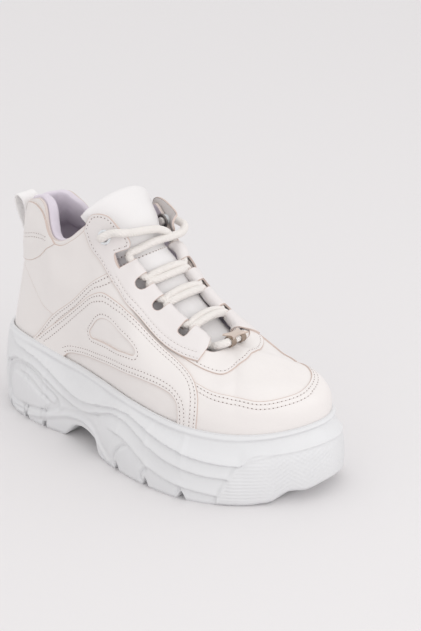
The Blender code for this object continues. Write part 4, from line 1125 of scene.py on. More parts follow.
@dataclass
class Sheet:
    """Cuts panels in the flat, lays them on a surface, rounds their edges and sews their seams.

    Attributes:
        surface: Gives points from station, rise and distance outward, all as arrays.
        palette: Its finishes.
        words: The finishes of a panel's face, its cut edge and its back.
        slot: A slot name of the frame; not used.
        back: Distance outward of the back faces, where they show from behind.
        under: Distance outward of what the panels lie on.
        step: Spacing of their points in mm.
        edge: Radius of their rounded edges in mm.
    """

    surface: Surface
    palette: Palette
    words: tuple[str, str, str] = ("leather", "raw", "lip")
    slot: str = "upper_leather"
    back: Optional[float] = None
    under: float = 0.0
    step: float = 2.6
    edge: float = 0.42

    def _on(self, flat: Array, out: Array = 0.0) -> Array:
        """Surface points for plan points."""
        return self.surface(flat[..., 0] / STATION_MM, flat[..., 1] / RISE_MM, out)

    def _spans(self, flat: Array, reach: float) -> list[Array]:
        """Steps on the surface for a reach to both sides along the plan's two directions."""
        return [self._on(flat + shift) - self._on(flat - shift) for shift in np.diag((reach, reach))]

    def _normals(self, flat: Array) -> Array:
        """Surface normals for plan points."""
        return unit(np.cross(*self._spans(flat, 0.4)))

    def _shifted(self, flat: Array, inset: float, turn: float = 1.0) -> Array:
        """A plan line moved to one side by a real distance on the surface.

        Args:
            flat: The line.
            inset: The distance in mm, to the left.
            turn: -1 to go to the right instead.

        Returns:
            The moved line.
        """
        along = unit(np.gradient(flat, axis=0))
        size = np.stack([np.linalg.norm(span, axis=-1) for span in self._spans(flat, 0.5)], -1)
        size = np.maximum(size, 0.35)
        real = unit(along * size)
        return flat + np.stack([-real[:, 1], real[:, 0]], -1) * turn * inset / size

    def _drawn(self, points: Pairs) -> Array:
        """A run that is smooth on the shoe, not only in the plan.

        Args:
            points: A few (station, rise) points of it.

        Returns:
            Its points in the plan.
        """
        flat = np.asarray(points) * PLAN
        real = self._on(flat)
        lengths = along_lengths(real)
        count = 2 + int(lengths[-1] / 1.5)
        run = Track(np.column_stack([lengths, real, flat]))(np.linspace(0.0, lengths[-1], count))
        target, places = run[:, :3], run[:, 3:]
        for _ in range(6):      # each round brings the plan points nearer to the smooth run in space
            here = self._on(places)
            right = (self._on(places + (0.3, 0.0)) - here) / 0.3
            up = (here - self._on(places - (0.0, 0.3))) / 0.3
            a, b, c = ((u * v).sum(-1) for u, v in ((right, right), (right, up), (up, up)))
            p, q = ((u * (target - here)).sum(-1) for u in (right, up))
            shift = np.stack([c * p - b * q, a * q - b * p], -1) / np.maximum(a * c - b * b, 1e-3)[:, None]
            places = places + np.clip(shift, -3.0, 3.0)
            if flat[:, 1].max() <= RISE_MM:
                places[:, 1] = np.minimum(places[:, 1], RISE_MM)
        places[0], places[-1] = flat[0], flat[-1]
        return places

    def _cut(self, panel: Panel) -> Cut:
        """Draws a panel's outline, windows and rows of stitches.

        Args:
            panel: What to draw.

        Returns:
            The drawing.
        """
        runs = [smooth_run(np.multiply(edge.points, PLAN), 1.7) if edge.flat or not edge.raw
                else self._drawn(edge.points) for edge in panel.edges]
        joined = np.concatenate([np.full(len(run) - 1, edge.joined) for run, edge in zip(runs, panel.edges)])
        loop = np.concatenate([run[:-1] for run in runs])
        outline = turned(loop)
        turn = 1.0 if np.array_equal(outline, loop) else -1.0
        if turn < 0.0:
            joined = np.roll(joined[::-1], -1)
        windows = [turned(closed_run(np.multiply(window, PLAN), 1.5), clockwise=True)
                   for window in panel.windows]
        paths = []
        for seam in panel.seams:
            if seam.run < len(runs):
                line = self._shifted(runs[seam.run], seam.inset, turn)
            else:
                window = windows[seam.run - len(runs)]
                line = self._shifted(np.concatenate([window, window[:1]]), seam.inset)
            count = len(line) - 1
            paths.append(line[round(seam.first * count):round(seam.last * count) + 1])
        paths += [self._drawn(row) for row in panel.rows]
        return Cut(panel, runs, [outline, *windows], joined, paths)

    def _round(self, form: Form, cut: Cut, number: int, high: Array, start: int) -> None:
        """Rounds a closed edge of a panel and closes the panel's side there.

        Args:
            form: Collects the faces.
            cut: The panel.
            number: Which of its loops it is.
            high: How far out its face is at the loop.
            start: The number of the loop's first vertex.
        """
        ring, size = cut.loops[number], len(high)
        top, normal = self._on(ring, high), self._normals(ring)
        out = unit(np.cross(unit(np.roll(top, -1, axis=0) - np.roll(top, 1, axis=0)), normal))
        if self.back is None:
            foot, spread = high - self.under + 0.35, 1.0
        else:
            foot, spread = np.full(size, cut.panel.thick + self.under - self.back), 0.9
        rows = [top + (out * 0.75 - normal * 0.22) * self.edge, top + (out - normal * 0.8) * self.edge,
                top + out * self.edge * spread - normal * foot[:, None]]
        first = form.add(np.concatenate(rows))
        rings = [first + size * k + np.arange(size) for k in (2, 1, 0)]
        form.strips([*rings, start + np.arange(size)], 2 if number else 1,
                    slice(None) if number else ~cut.joined)

    def lay(self, panel: Panel, node: str = "") -> None:
        """Builds a panel and its stitches.

        Args:
            panel: What to cut.
            node: The frame's node that it replaces, if it replaces one.
        """
        cut = self._cut(panel)
        extra = [smooth_run(self._shifted(path, shift), 2.0) for path in cut.paths
                 for shift in (-1.2, 0.0, 1.2)]
        extra = np.concatenate(extra) if extra else np.empty((0, 2))
        flat, triangles = triangulate(cut.loops, extra, self.step)
        high = self.under + cut.height(flat)
        form = Form()
        form.add(self._on(flat, high), triangles)
        start = 0
        for number, ring in enumerate(cut.loops):
            self._round(form, cut, number, high[start:start + len(ring)], start)
            start += len(ring)
        if self.back is not None:
            form.add(self._on(flat, self.back), triangles[:, ::-1], 2)
        form.piece(panel.name, self.palette(*self.words), node, closed=False)
        if cut.paths:
            sewn = Form()
            for path in cut.paths:
                fine = smooth_run(path, 0.7)
                StitchRow().add(sewn, self._on(fine, self.under + cut.height(fine)), self._normals(fine))
            sewn.piece(panel.name + "_stitches", self.palette("thread", "dark"))


def mirrored(points: Pairs) -> Pairs:
    """Lateral (station, rise) points on the medial side."""
    return tuple((ROUND - station, rise) for station, rise in points)


def on_side(panel: Panel, side: Side) -> Panel:
    """Lays a panel's drawing out for one side.

    Args:
        panel: The lateral drawing.
        side: The side that it is for.

    Returns:
        The panel for that side, with the side in its name.
    """
    panel = replace(panel, name=f"{panel.name}_{side.word}")
    if side is Side.LATERAL:
        return panel
    return replace(panel, windows=tuple(mirrored(window) for window in panel.windows),
                   edges=tuple(replace(edge, points=mirrored(edge.points)) for edge in panel.edges))


def both_ways(points: Pairs) -> Pairs:
    """Lateral points that start at the back of the heel, with the medial ones before them."""
    return (*((-station, rise) for station, rise in reversed(points[1:])), *points)


QUARTER = Panel("quarter", (
    Edge(((1.36, 0.6), (1.46, 0.52), (1.98, 0.45), (2.44, 0.395), (2.9, 0.35), (3.5, 0.32))),
    Edge(((3.5, 0.32), (4.1, 0.48), (5.4, 0.76)), raw=False),
    Edge(((5.4, 0.76), (5.1, 0.84), (4.6, 0.9), (4.35, 0.975)), raw=False),
    Edge(((4.35, 0.975), (3.9, 0.965), (3.5, 0.965), (3.2, 0.965))),
    Edge(((3.2, 0.965), (2.6, 0.8), (2, 0.64), (1.36, 0.6)), raw=False),
), thick=0.75)
FRONT_QUARTER = Panel("front_quarter", (
    Edge(((2.62, -0.03), (2.9, 0.12), (3.26, 0.295), (3.94, 0.505), (4.44, 0.6), (5.22, 0.8))),
    Edge(((5.22, 0.8), (5.8, 0.86), (6.4, 0.84)), raw=False),
    Edge(((6.4, 0.84), (6.5, 0.72), (6.2, 0.52), (5.2, 0.25), (4.2, 0.06), (3.7, -0.03)), raw=False,
         fade=14.0),
    Edge(((3.7, -0.03), (2.62, -0.03)), raw=False),
), seams=(Seam(0, 1.5, 0.04), Seam(0, 4.6, 0.02)), thick=1.0)
SADDLE = Panel("saddle", (
    Edge(((2.7, -0.04), (3.1, 0.145), (3.62, 0.335), (4.1, 0.46), (4.5, 0.52), (4.9, 0.575), (5.44, 0.665),
          (6.02, 0.72), (7, 0.72), (7.52, 0.69), (7.86, 0.63), (8.06, 0.53), (8.15, 0.39), (8.15, 0.19),
          (8.1, -0.04))),
    Edge(((8.1, -0.04), (7.55, -0.04)), raw=False),
    Edge(((7.55, -0.04), (7.57, 0.1), (7.55, 0.21), (7.38, 0.275), (7.05, 0.29), (6.52, 0.25), (5.66, 0.175),
          (4.62, 0.105), (4.05, 0.085), (3.72, 0.045), (3.6, -0.04))),
    Edge(((3.6, -0.04), (2.7, -0.04)), raw=False),
), windows=(
    ((4.9, 0.408), (5.22, 0.454), (5.68, 0.484), (6.1, 0.483), (6.28, 0.452), (6.24, 0.402), (5.86, 0.345),
     (5.08, 0.26), (4.7, 0.236), (4.48, 0.238), (4.43, 0.268), (4.57, 0.325)),
), seams=(
    Seam(0, 1.6, 0.03, 0.995), Seam(0, 4.9, 0.04, 0.995), Seam(2, 1.6, 0.01, 0.97), Seam(2, 4.7, 0.01, 0.97),
    Seam(4, 2.2),
), thick=1.5)
TOE_CAP = Panel("toe_cap", (
    Edge(((8.02, 0.535), (8.56, 0.455), (9.04, 0.355), (9.54, 0.325), (10.1, 0.38), (10.7, 0.5),
          (11.35, 0.54), (11.95, 0.49), (12.5, 0.47), (13.2, 0.5), (13.98, 0.545))),
    Edge(((13.98, 0.545), (13.98, -0.04)), raw=False),
    Edge(((13.98, -0.04), (11, -0.04), (8.02, -0.04)), raw=False),
    Edge(((8.02, -0.04), (8.02, 0.535)), raw=False),
), seams=(Seam(0, 1.7, 0.01, 0.99), Seam(0, 4.6, 0.01, 0.99)), thick=0.85)
THROAT_EDGES = (
    Edge(((9.69, 1), (9.35, 1), (9, 1)), raw=False, joined=True),
    Edge(((9, 1), (8.8, 0.992), (8.5, 0.985), (8.2, 0.975)), raw=False),
    Edge(((8.2, 0.975), (7.5, 0.95), (6.9, 0.92)), raw=False),
)
THROAT_FACING = {side: Panel("throat_facing", (
    Edge(outer), *THROAT_EDGES, Edge(((6.9, 0.92), outer[0]), raw=False),
), seams=(Seam(0, 2, 0.05, 0.99),), thick=0.9) for side, outer in {
    Side.LATERAL: ((6.9, 0.8), (7.88, 0.77), (8.42, 0.745), (8.76, 0.69), (9.06, 0.725), (9.37, 0.84),
                   (9.69, 1)),
    Side.MEDIAL: ((6.9, 0.84), (7.7, 0.82), (8.26, 0.8), (8.85, 0.815), (9.3, 0.88), (9.69, 1)),
}.items()}
HEEL_COLLAR = Panel("heel_collar", (
    Edge(both_ways(((0, 0.55), (1.4, 0.535), (2.1, 0.55), (2.48, 0.625), (2.9, 0.84), (3.3, 0.972)))),
    Edge(both_ways(((0, 0.968), (1.6, 0.968), (2.6, 0.968), (3.3, 0.972)))[::-1]),
), rows=tuple(both_ways(((0, low), (1.1, low), (2.2, low + 0.025), (2.86, low + 0.2)))
              for low in (0.735, 0.705)), thick=1.1, swell=1.7, swell_width=13.0)


@dataclass
class UpperShell:
    """The upper itself, one hollow skin with its panels, seams and stitches.

    Attributes:
        last: Its shape.
        palette: Its finishes.
        columns: Mesh columns round the shoe.
        rows: Mesh rows up the wall's outside.
        inner_rows: Mesh rows down its inside.
        slot_shade_span: Near stations between which the top of the skin, seen through the eyestay's slots, is
            painted dark brown-grey as painted shade in the slots.
    """

    last: Last
    palette: Palette
    columns: int = 400
    rows: int = 52
    inner_rows: int = 22
    slot_shade_span: tuple[float, float] = (5.3, 8.3)

    def build(self) -> None:
        """Builds the skin and lays the panels on it."""
        self._skin()
        sheet = Sheet(self.last.point, self.palette)
        for side in Side:
            for panel in (QUARTER, FRONT_QUARTER, SADDLE, THROAT_FACING[side]):
                sheet.lay(on_side(panel, side))
        for panel in (TOE_CAP, HEEL_COLLAR):
            sheet.lay(panel)

    def _skin(self) -> None:
        """Builds the outer face, the rounded top edge and the lined inner face."""
        stations = np.arange(self.columns) * ROUND / self.columns
        near = np.minimum(stations, ROUND - stations)
        rises = np.concatenate([[-1.0], np.linspace(0.0, 0.96, self.rows), [0.975, 0.985, 0.993, 1.0]])
        inner_rises = np.concatenate([np.linspace(1.0, 0.0, self.inner_rows), [-1.0]])
        outer = self.last.point(stations[None, :], rises[:, None])
        inner = self.last.point(stations[None, :], inner_rises[:, None], -WALL)
        form = Form()
        form.grid(outer, closed=True)
        # The skin's top behind the eyestay's slots takes slot 3, painted dark as the shade in the slots.
        slots = np.array(form.slots).reshape(-1, self.columns)
        slots[(rises[:-1] > 0.93)[:, None] & (near > self.slot_shade_span[0]) & (near < self.slot_shade_span[1])] = 3
        form.slots = slots.ravel().tolist()
        start = form.grid(inner, closed=True, material=1)
        edge = outer[-1] * 0.5 + inner[0] * 0.5
        normal = self.last.normal(stations, np.ones_like(stations))
        climb = unit(outer[-1] - outer[-2])
        first = form.add([edge + normal * WALL * turn + climb * 0.45 for turn in (0.33, -0.33)])
        index = np.arange(self.columns)
        mouth = np.minimum(near, np.roll(near, -1)) < THROAT_BASE
        tops = [(len(rises) - 1) * self.columns, first, first + self.columns, start]
        form.strips([top + index for top in tops], 2, mouth)
        form.strips([start + (len(inner_rises) - 1) * self.columns + index, index], 0)
        materials = self.palette("leather", "lining", "lip", "backing")
        form.piece("upper_shell", materials, "upper")


# ---- eyestay, eyelets, laces

def slot_ends(number: int) -> tuple[float, float]:
    """Near stations of the ends of a slot between two loops; slot 0 is under the tab."""
    return LOOPS[number - 1][1] if number else TAB_END, LOOPS[number][0]


@dataclass
class Eyestay:
    """The facing that carries the eyelet's tab and the four loops folded round the lace.

    Attributes:
        last: The upper that it lies on.
        palette: Its finishes.
        side: The side that it is on.
        fold: Degrees through which the loops turn.
        hole: Radius of the eyelet's hole in mm.
        sink: Share by which it is thicker away from the upper's edge, so that its back lies on the upper.
        slot_floors: Depth of each slot in plan mm, from the upper's edge.
        outer: Its outline on the upper, as near stations and rises in mm past the upper's edge.
        tab: The outline of its tab, in the same way.
    """

    last: Last
    palette: Palette
    side: Side
    fold: float = 215.0
    hole: float = 3.7
    sink: float = 0.53
    slot_floors: tuple[float, ...] = (-3.6, -0.2, 0.0, -1.8)
    outer: Pairs = ((4.25, -3), (4.42, -13.5), (4.85, -21.8), (5.3, -20.8), (5.9, -19.4), (6.5, -20.8),
                    (7.2, -22.6), (7.8, -20.8), (8.14, -18))
    tab: Pairs = ((5.42, 8.6), (5.41, 11), (5.34, 12.6), (5.21, 12.6), (5.05, 10.4), (4.8, 6.8), (4.5, 3.1),
                  (4.32, 0.4), (4.25, -3))

    def surface(self, station: Array, height: Array, out: Array) -> Array:
        """The facing's plan in space: on the upper below height 1, then straight on, then round the fold.

        Args:
            station: Stations in the plan.
            height: Rises in the plan, which go on past 1.
            out: Distances outward.

        Returns:
            The points.
        """
        near = np.asarray(station) if self.side is Side.LATERAL else ROUND - np.asarray(station)
        out = np.broadcast_to(np.asarray(out, float), near.shape)
        past = (np.asarray(height) - 1.0) * RISE_MM
        sunk = STAY_FACE - (STAY_FACE - out) * (1.0 + self.sink * (1.0 - smoothstep(0.93, 1.0, height)))
        on = self.last.point(station, np.minimum(height, 1.0), sunk)
        edge, onward, normal = self.last.edge_frame(near, self.side)
        reach = self.last.reach(near)[..., 0]
        straight = edge + normal * out[..., None] + onward * past[..., None]
        axis = edge + normal * (STAY_FACE - FOLD_RADIUS) + onward * reach[..., None]
        turn = ((past - reach) / FOLD_RADIUS)[..., None]
        radius = (FOLD_RADIUS - STAY_FACE + out)[..., None]
        bent = axis + (normal * np.cos(turn) + onward * np.sin(turn)) * radius
        folded = (past > reach) & (near > TAB_END + 0.1)
        flat = np.where(folded[..., None], bent, straight)
        return np.where((past > 0.0)[..., None], flat, on)

    def _plan(self, points: Pairs) -> Pairs:
        """Near stations and rises in mm past the edge, as the plan's stations and rises."""
        return tuple((float(self.side.station(near)), 1.0 + past / RISE_MM) for near, past in points)

    def _panel(self) -> Panel:
        """The facing in the flat."""
        end, last = REACH[-1][1] + FOLD_RADIUS * math.radians(self.fold), LOOPS[-1][1]
        lines = [(self.outer[-1], (last, 1.0)), ((last, 1.0), (last, end))]
        for number in range(len(LOOPS))[::-1]:
            low, high = slot_ends(number)
            floor = self.slot_floors[number]
            top, round_end = (end, 4.0) if number else (self.tab[0][1], 4.5)
            corner = [(low + (high - low) * (0.5 + 0.5 * math.cos(turn)),
                       floor + round_end * (1.0 - math.sin(turn))) for turn in np.linspace(0.0, math.pi, 5)]
            lines += [((LOOPS[number][1], end), (high, end)), ((high, end), corner[0]), corner,
                      (corner[-1], (low, top))]
        edges = (Edge(self._plan(self.outer)), *(Edge(self._plan(line), flat=True) for line in lines),
                 Edge(self._plan(self.tab)))
        near, rise = EYELET
        hole = tuple((float(self.side.station(near + self.hole / STATION_MM * math.cos(turn))),
                      rise + self.hole / RISE_MM * math.sin(turn)) for turn in full_turn(20))
        tab = len(edges) - 1
        seams = Seam(0, 1.7, 0.02), Seam(0, 6.2, 0.36), Seam(tab, 1.7, 0.03, 0.97), Seam(tab - 1, 1.7)
        return Panel("eyestay_facing_" + self.side.word, edges, (hole,), seams, thick=STAY_THICK)

    def build(self) -> None:
        """Builds the facing."""
        sheet = Sheet(self.surface, self.palette, ("facing", "raw", "suede"), "eyestay_leather",
                      back=STAY_GAP, under=STAY_GAP)
        sheet.lay(self._panel(), "eyestay_" + self.side.word)


@dataclass
class Eyelet:
    """A pressed ring through the tab, with its flared washer behind.

    Attributes:
        last: The upper that it sits in.
        palette: Its finishes.
        side: The side that it is on.
        profile: Radius and height over the facing of its section, from the bore outward and back.
        washer: The same for the washer behind.
    """

    last: Last
    palette: Palette
    side: Side
    profile: Pairs = ((3.05, -5.5), (3.05, -0.4), (3.15, 0.35), (3.45, 0.85), (3.95, 1.02), (4.5, 0.85),
                      (4.9, 0.42), (5, 0), (4.9, -0.25), (3.9, -0.25), (3.9, -5.5))
    washer: Pairs = ((3.1, -5.6), (3.3, -5.95), (4, -6.1), (4.8, -5.9), (5.2, -5.4), (5.2, -5.1), (3.1, -5.1))

    def frame(self) -> tuple[Array, Array, Array]:
        """Middle of the ring on the facing's face, a direction across it and its normal."""
        station, rise = float(self.side.station(EYELET[0])), EYELET[1]
        along = unit(self.last.base(station + STEP, rise) - self.last.base(station - STEP, rise))
        return self.last.point(station, rise, STAY_FACE), along, self.last.normal(station, rise)

    def build(self) -> None:
        """Builds the ring and its washer."""
        point, along, normal = self.frame()
        turns = full_turn(48)[None, :, None]
        ring = along * np.cos(turns) + np.cross(normal, along) * np.sin(turns)
        form = Form()
        for material, section in enumerate((self.profile, self.washer)):
            radius, height = np.asarray(section).T[..., None, None]
            section = point + ring * radius + normal * height
            form.grid(section, closed=True, material=material, rows_closed=True)
        name = "eyelet_ring_" + self.side.word
        form.piece(name, self.palette("enamel", "steel"), "eyelet_" + self.side.word)


@dataclass
class Laces:
    """The round braided lace: three pairs across the throat, a top crossing and the bottom bar.

    Attributes:
        last: The upper whose loops it runs through.
        palette: Its finishes.
        eyelets: The rings that its ends run into, by side.
        arch: Rise of a pair over the tongue's middle.
        pair: Half the distance between the strands of a pair.
        sides: Sides of the cord.
        step: Spacing of its rings in mm.
        braid: Height of the braid's bumps in mm.
        plait: Bumps of the braid round the cord.
        pitch: Length of a bump in mm.
        top: The way of each top strand from the eyelet of its side to the first slot of the other side.
    """

    last: Last
    palette: Palette
    eyelets: dict[Side, Eyelet]
    arch: float = 4.6
    pair: float = 2.45
    sides: int = 24
    step: float = 0.42
    braid: float = 0.26
    plait: int = 6
    pitch: float = 2.3

    top: dict[Side, Sequence[Triple]] = field(default_factory=lambda: {
        Side.LATERAL: ((128.8, -27.6, 155.7), (133.7, -24.3, 156), (135.4, -16.4, 154.6), (135, 0, 151.8),
                       (135, 10, 149.5), (134.5, 17, 146), (132.5, 22.5, 142)),
        Side.MEDIAL: ((119.5, 45, 143), (129, 42, 142.5), (134.5, 34, 141), (136, 23, 141.5),
                      (136, 12, 142.3), (135.8, 0, 142.3), (134.2, -8, 140.5))})

    def cord(self, form: Form, path: Array) -> None:
        """Adds a braided strand.

        Args:
            form: Collects it.
            path: A few points of its middle line.
        """
        run = smooth_run(path, self.step)
        lead = np.arange(len(run))[:, None] * self.step * math.pi / self.pitch
        turn = self.plait * full_turn(self.sides)[None, :] / 2
        threads = np.maximum(np.abs(np.cos(turn + lead)), np.abs(np.cos(turn - lead)))
        form.tube(run, LACE_RADIUS - 0.08 + self.braid * (threads * 3.3 - 2.6))

    def pair_strands(self, near: float) -> list[Array]:
        """The two strands that cross at a slot, with their ends in the loops above and below it.

        Args:
            near: Near station of the slot's middle.

        Returns:
            The middle line of each strand.
        """
        lateral, medial = (self.last.fold_axis(near, side) for side in Side)
        down = unit(sum(self.last.fold_axis(near + 0.05, side) - self.last.fold_axis(near - 0.05, side)
                        for side in Side))
        front = unit(np.cross(down, medial - lateral))
        front = front * (1.0 if front[2] > 0.0 else -1.0)
        strands = []
        for turn in (-1.0, 1.0):
            share = np.linspace(0.06, 0.94, 9)[:, None]
            hill = 1.0 - (2.0 * share - 1.0) ** 2
            apart = 1.5 + (self.pair - 1.5) * hill
            lift = (self.arch + 0.35 * turn) * hill
            crossing = lateral + (medial - lateral) * share + front * lift + down * turn * apart
            before, after = ([self.last.fold_axis(near + turn * deep, side) for deep in (0.34, 0.17)]
                             for side in Side)
            strands.append(np.array([*before, *crossing, *reversed(after)]))
        return strands

    def top_strands(self) -> list[Array]:
        """From each eyelet across to the first slot of the other side."""
        strands = []
        for side, other in (tuple(Side), tuple(Side)[::-1]):
            point, _, normal = self.eyelets[side].frame()
            way = [point + normal * out for out in (-7.0, -2.0, 2.2, 4.4)]
            ends = [self.last.fold_axis(near, other) for near in (sum(slot_ends(0)) / 2, LOOPS[0][0] + 0.12)]
            strands.append(np.array([*way, *self.top[side], *ends]))
        return strands

    def bar(self, charm: "Charm") -> Array:
        """The bottom bar, out of the last loops and through the charm.

        Args:
            charm: The charm on it.

        Returns:
            Its middle line.
        """
        middle, half = charm.middle(), charm.size[1] / 2
        last, ends = LOOPS[-1][1], []
        for side in Side:
            tucked, inner, axis = (self.last.fold_axis(last - back, side) for back in (0.3, 0.1, 0.0))
            bend = []
            for turn in np.radians((70.0, 35.0)):
                back = charm.bend * (1.0 - math.cos(turn))
                bend.append(middle + (-back, side.value * (half + charm.bend * math.sin(turn)), -back * 0.4))
            ends.append([tucked, axis + unit(axis - inner) * 3.3, *bend])
        straight = [middle + (0.0, half * share, 0.0) for share in (-1.0, -0.6, 0.0, 0.6, 1.0)]
        return np.array([*ends[0], *straight, *reversed(ends[1])])

    def build(self, charm: "Charm") -> None:
        """Builds the strands.

        Args:
            charm: The charm on the bottom bar.
        """
        groups = {}
        for number in (1, 2, 3):
            strands = self.pair_strands(sum(slot_ends(number)) / 2)
            groups[f"lace_pair_{number}"] = (f"lace_crossing_{number}", strands)
        groups["lace_top_crossing"] = ("lace_top", self.top_strands())
        groups["lace_bottom_bar"] = ("lace_bar", [self.bar(charm)])
        for name, (node, strands) in groups.items():
            form = Form()
            for strand in strands:
                self.cord(form, strand)
            form.piece(name, self.palette("cord"), node, angle=80.0)


@dataclass
class Charm:
    """A four-pointed metal plate on two sleeves that slide on the bottom bar.

    Attributes:
        palette: Its finishes.
        size: Its size across the lace and along it.
        waist: How far its sides curve in.
        bend: Radius of the lace's bends beside it.
        place: x and z of the middle of the bar under it.
        levels: Scale and height of the plate's section, from its underside up.
        sleeve: Radius and place along the bar of a sleeve's section.
    """

    palette: Palette
    size: tuple[float, float] = (9.5, 15.0)
    waist: float = 1.7
    bend: float = 4.6
    place: tuple[float, float] = (204.5, 90.2)
    levels: Pairs = ((0.9, 0), (0.985, 0.12), (1, 0.45), (1, 1.05), (0.975, 1.38), (0.92, 1.55),
                     (0.72, 1.72), (0.4, 1.84), (0, 1.88))
    sleeve: Pairs = ((2.95, -2), (3.35, -2.25), (3.75, -2), (3.85, -1.4), (3.7, -0.8), (3.7, 0.8),
                     (3.85, 1.4), (3.75, 2), (3.35, 2.25), (2.95, 2))

    def middle(self) -> Array:
        """Middle of the bar under the plate."""
        return np.array([self.place[0], middle_line(self.place[0]), self.place[1]])

    def outline(self) -> Array:
        """The plate's outline, with every side curving in."""
        corners = [np.array(self.size) / 2 * turn for turn in ((-1, -1), (1, -1), (1, 1), (-1, 1))]
        points = []
        for corner, following in zip(corners, corners[1:] + corners[:1]):
            inward = -unit(corner + following)
            for share in np.linspace(0.0, 1.0, 14, endpoint=False):
                waist = self.waist * math.sin(math.pi * share) ** 1.3
                points.append(corner + (following - corner) * share + inward * waist)
        return np.array(points)

    def build(self) -> None:
        """Builds the plate and its sleeves."""
        middle, flat = self.middle(), self.outline()
        base = LACE_RADIUS + 0.35
        form = Form()
        rings = [np.column_stack([flat * scale, np.full(len(flat), base + height)])
                 for scale, height in self.levels]
        start = form.grid(middle + np.stack(rings), closed=True)
        form.link([range(start, start + len(flat))])
        radius, along = np.asarray(self.sleeve).T[..., None]
        turns = full_turn(28)[None, :]
        for reach in (2.6 - self.size[1] / 2, self.size[1] / 2 - 2.6):
            ring = np.broadcast_arrays(radius * np.cos(turns), along + reach, radius * np.sin(turns))
            form.grid(middle + np.stack(ring, -1), closed=True, rows_closed=True, material=1)
        form.piece("charm_plate", self.palette("plate", "sleeve"), "lace_charm")


# ---- padded pieces, pull loop, footbed

@dataclass
class Tongue:
    """The padded tongue, with a seam across it under the top crossing.

    Attributes:
        palette: Its finishes.
        thick: Its thickness in mm.
        rows: Mesh rows up it.
        columns: Mesh columns across its front.
        seam: Share of its length at which the seam crosses.
        lip: How much its edges and its top thin out in mm.
    """

    palette: Palette
    thick: float = 6.0
    rows: int = 150
    columns: int = 64
    seam: float = 0.715
    lip: float = 2.6

    def __post_init__(self) -> None:
        """Fits its middle line and section."""
        self.track = Track(TONGUE)

    def front(self, along: Array, across: Array, out: Array = 0.0) -> Array:
        """Points of the front face.

        Args:
            along: Shares of its length from under the vamp.
            across: Places across it, from -1 to 1.
            out: How far they are moved forward.

        Returns:
            The points.
        """
        place = along * (1.0 - 0.015 * np.abs(across) ** 3)
        x, z, half, sag = np.moveaxis(self.track(place), -1, 0)
        climb = self.track(np.minimum(place + STEP, 1.0)) - self.track(np.maximum(place - STEP, 0.0))
        climb = unit(climb[..., :2])
        forward = np.stack([climb[..., 1], np.zeros_like(x), -climb[..., 0]], -1)
        centre = np.stack([x, middle_line(x) + half * across, z], -1)
        slope = 2.0 * sag * across / half
        normal = unit(forward + np.stack([np.zeros_like(x), slope, np.zeros_like(x)], -1))
        return centre - forward * (sag * across ** 2)[..., None] + normal * np.asarray(out)[..., None]

    def relief(self, along: Array, across: Array) -> Array:
        """Padding, its seam and a few soft folds.

        Args:
            along: Shares of its length.
            across: Places across it, from -1 to 1.

        Returns:
            How far each point stands forward in mm.
        """
        seam = (along - self.seam - 0.012 * across ** 2) * 165.0
        puff = 0.9 * (1.0 - across ** 4) * smoothstep(0.0, 9.0, seam)
        high = puff - 0.55 * hump(seam, 1.6) + 0.25 * hump(seam + 3.4, 1.8)
        high = high - 0.7 * hump((along - 0.885 - 0.03 * across) * 165.0, 7.0) * (1.0 - 0.5 * across)
        high = high + 0.30 * np.sin(along * 31.0 + across * 1.8) * (1.0 - across ** 2)
        throat = smoothstep(0.12, 0.25, along) * (1.0 - smoothstep(0.62, 0.72, along)) * (1.0 - across ** 6)
        high = high + throat * (0.8 + 2.6 * smoothstep(0.1, 0.75, across))
        return high

    def build(self) -> None:
        """Builds the tongue."""
        ease = np.linspace(0.1, math.pi / 2, 10)
        across = -np.cos(np.linspace(0.0, math.pi, self.columns))[None, :] * 0.965
        along = np.concatenate([np.linspace(0.0, 0.97, self.rows), 0.97 + 0.022 * np.sin(ease)])[:, None]
        along, across = np.broadcast_arrays(along, across)
        drop = np.zeros((len(along), 1))
        drop[-len(ease):, 0] = self.lip * (1.0 - np.cos(ease))
        edge = self.lip * np.clip((np.abs(across) - 0.86) / 0.105, 0.0, 1.0) ** 2.2
        front = self.front(along, across, self.relief(along, across) - edge - drop)
        back = self.front(along, across * 0.995, edge * 0.5 + drop * 0.6 - self.thick)[:, ::-1]
        sides = [self.front(along[:, :1], np.full((len(along), 1), turn), -self.thick * 0.55 - drop * 0.1)
                 for turn in (0.99, -0.99)]
        ring = np.concatenate([front, sides[0], back, sides[1]], axis=1)
        form = Form()
        start = form.grid(ring, closed=True)
        count = ring.shape[1]
        form.link([range(start, start + count)])
        top = start + (len(ring) - 1) * count
        half = self.columns
        form.link([(top + k, top + k + 1, top + 2 * half - k - 1, top + 2 * half - k)
                   for k in range(half - 1)])
        form.link([(top + half - 1, top + half, top + half + 1), (top, top + 2 * half, top + 2 * half + 1)])
        tongue = form.piece("padded_tongue", self.palette("tongue"), "tongue")
        self._sew()

    def _sew(self) -> None:
        """Sews the two rows across the tongue."""
        form = Form()
        for shift in (-0.019, 0.014):
            across = np.linspace(-0.9, 0.9, 90)
            along = self.seam + shift + 0.012 * across ** 2
            path = self.front(along, across, self.relief(along, across))
            ahead = self.front(along + 0.01, across, 0.0) - self.front(along, across, 0.0)
            StitchRow().add(form, path, unit(np.cross(np.gradient(path, axis=0), ahead)))
        form.piece("tongue_stitches", self.palette("thread", "dark"))


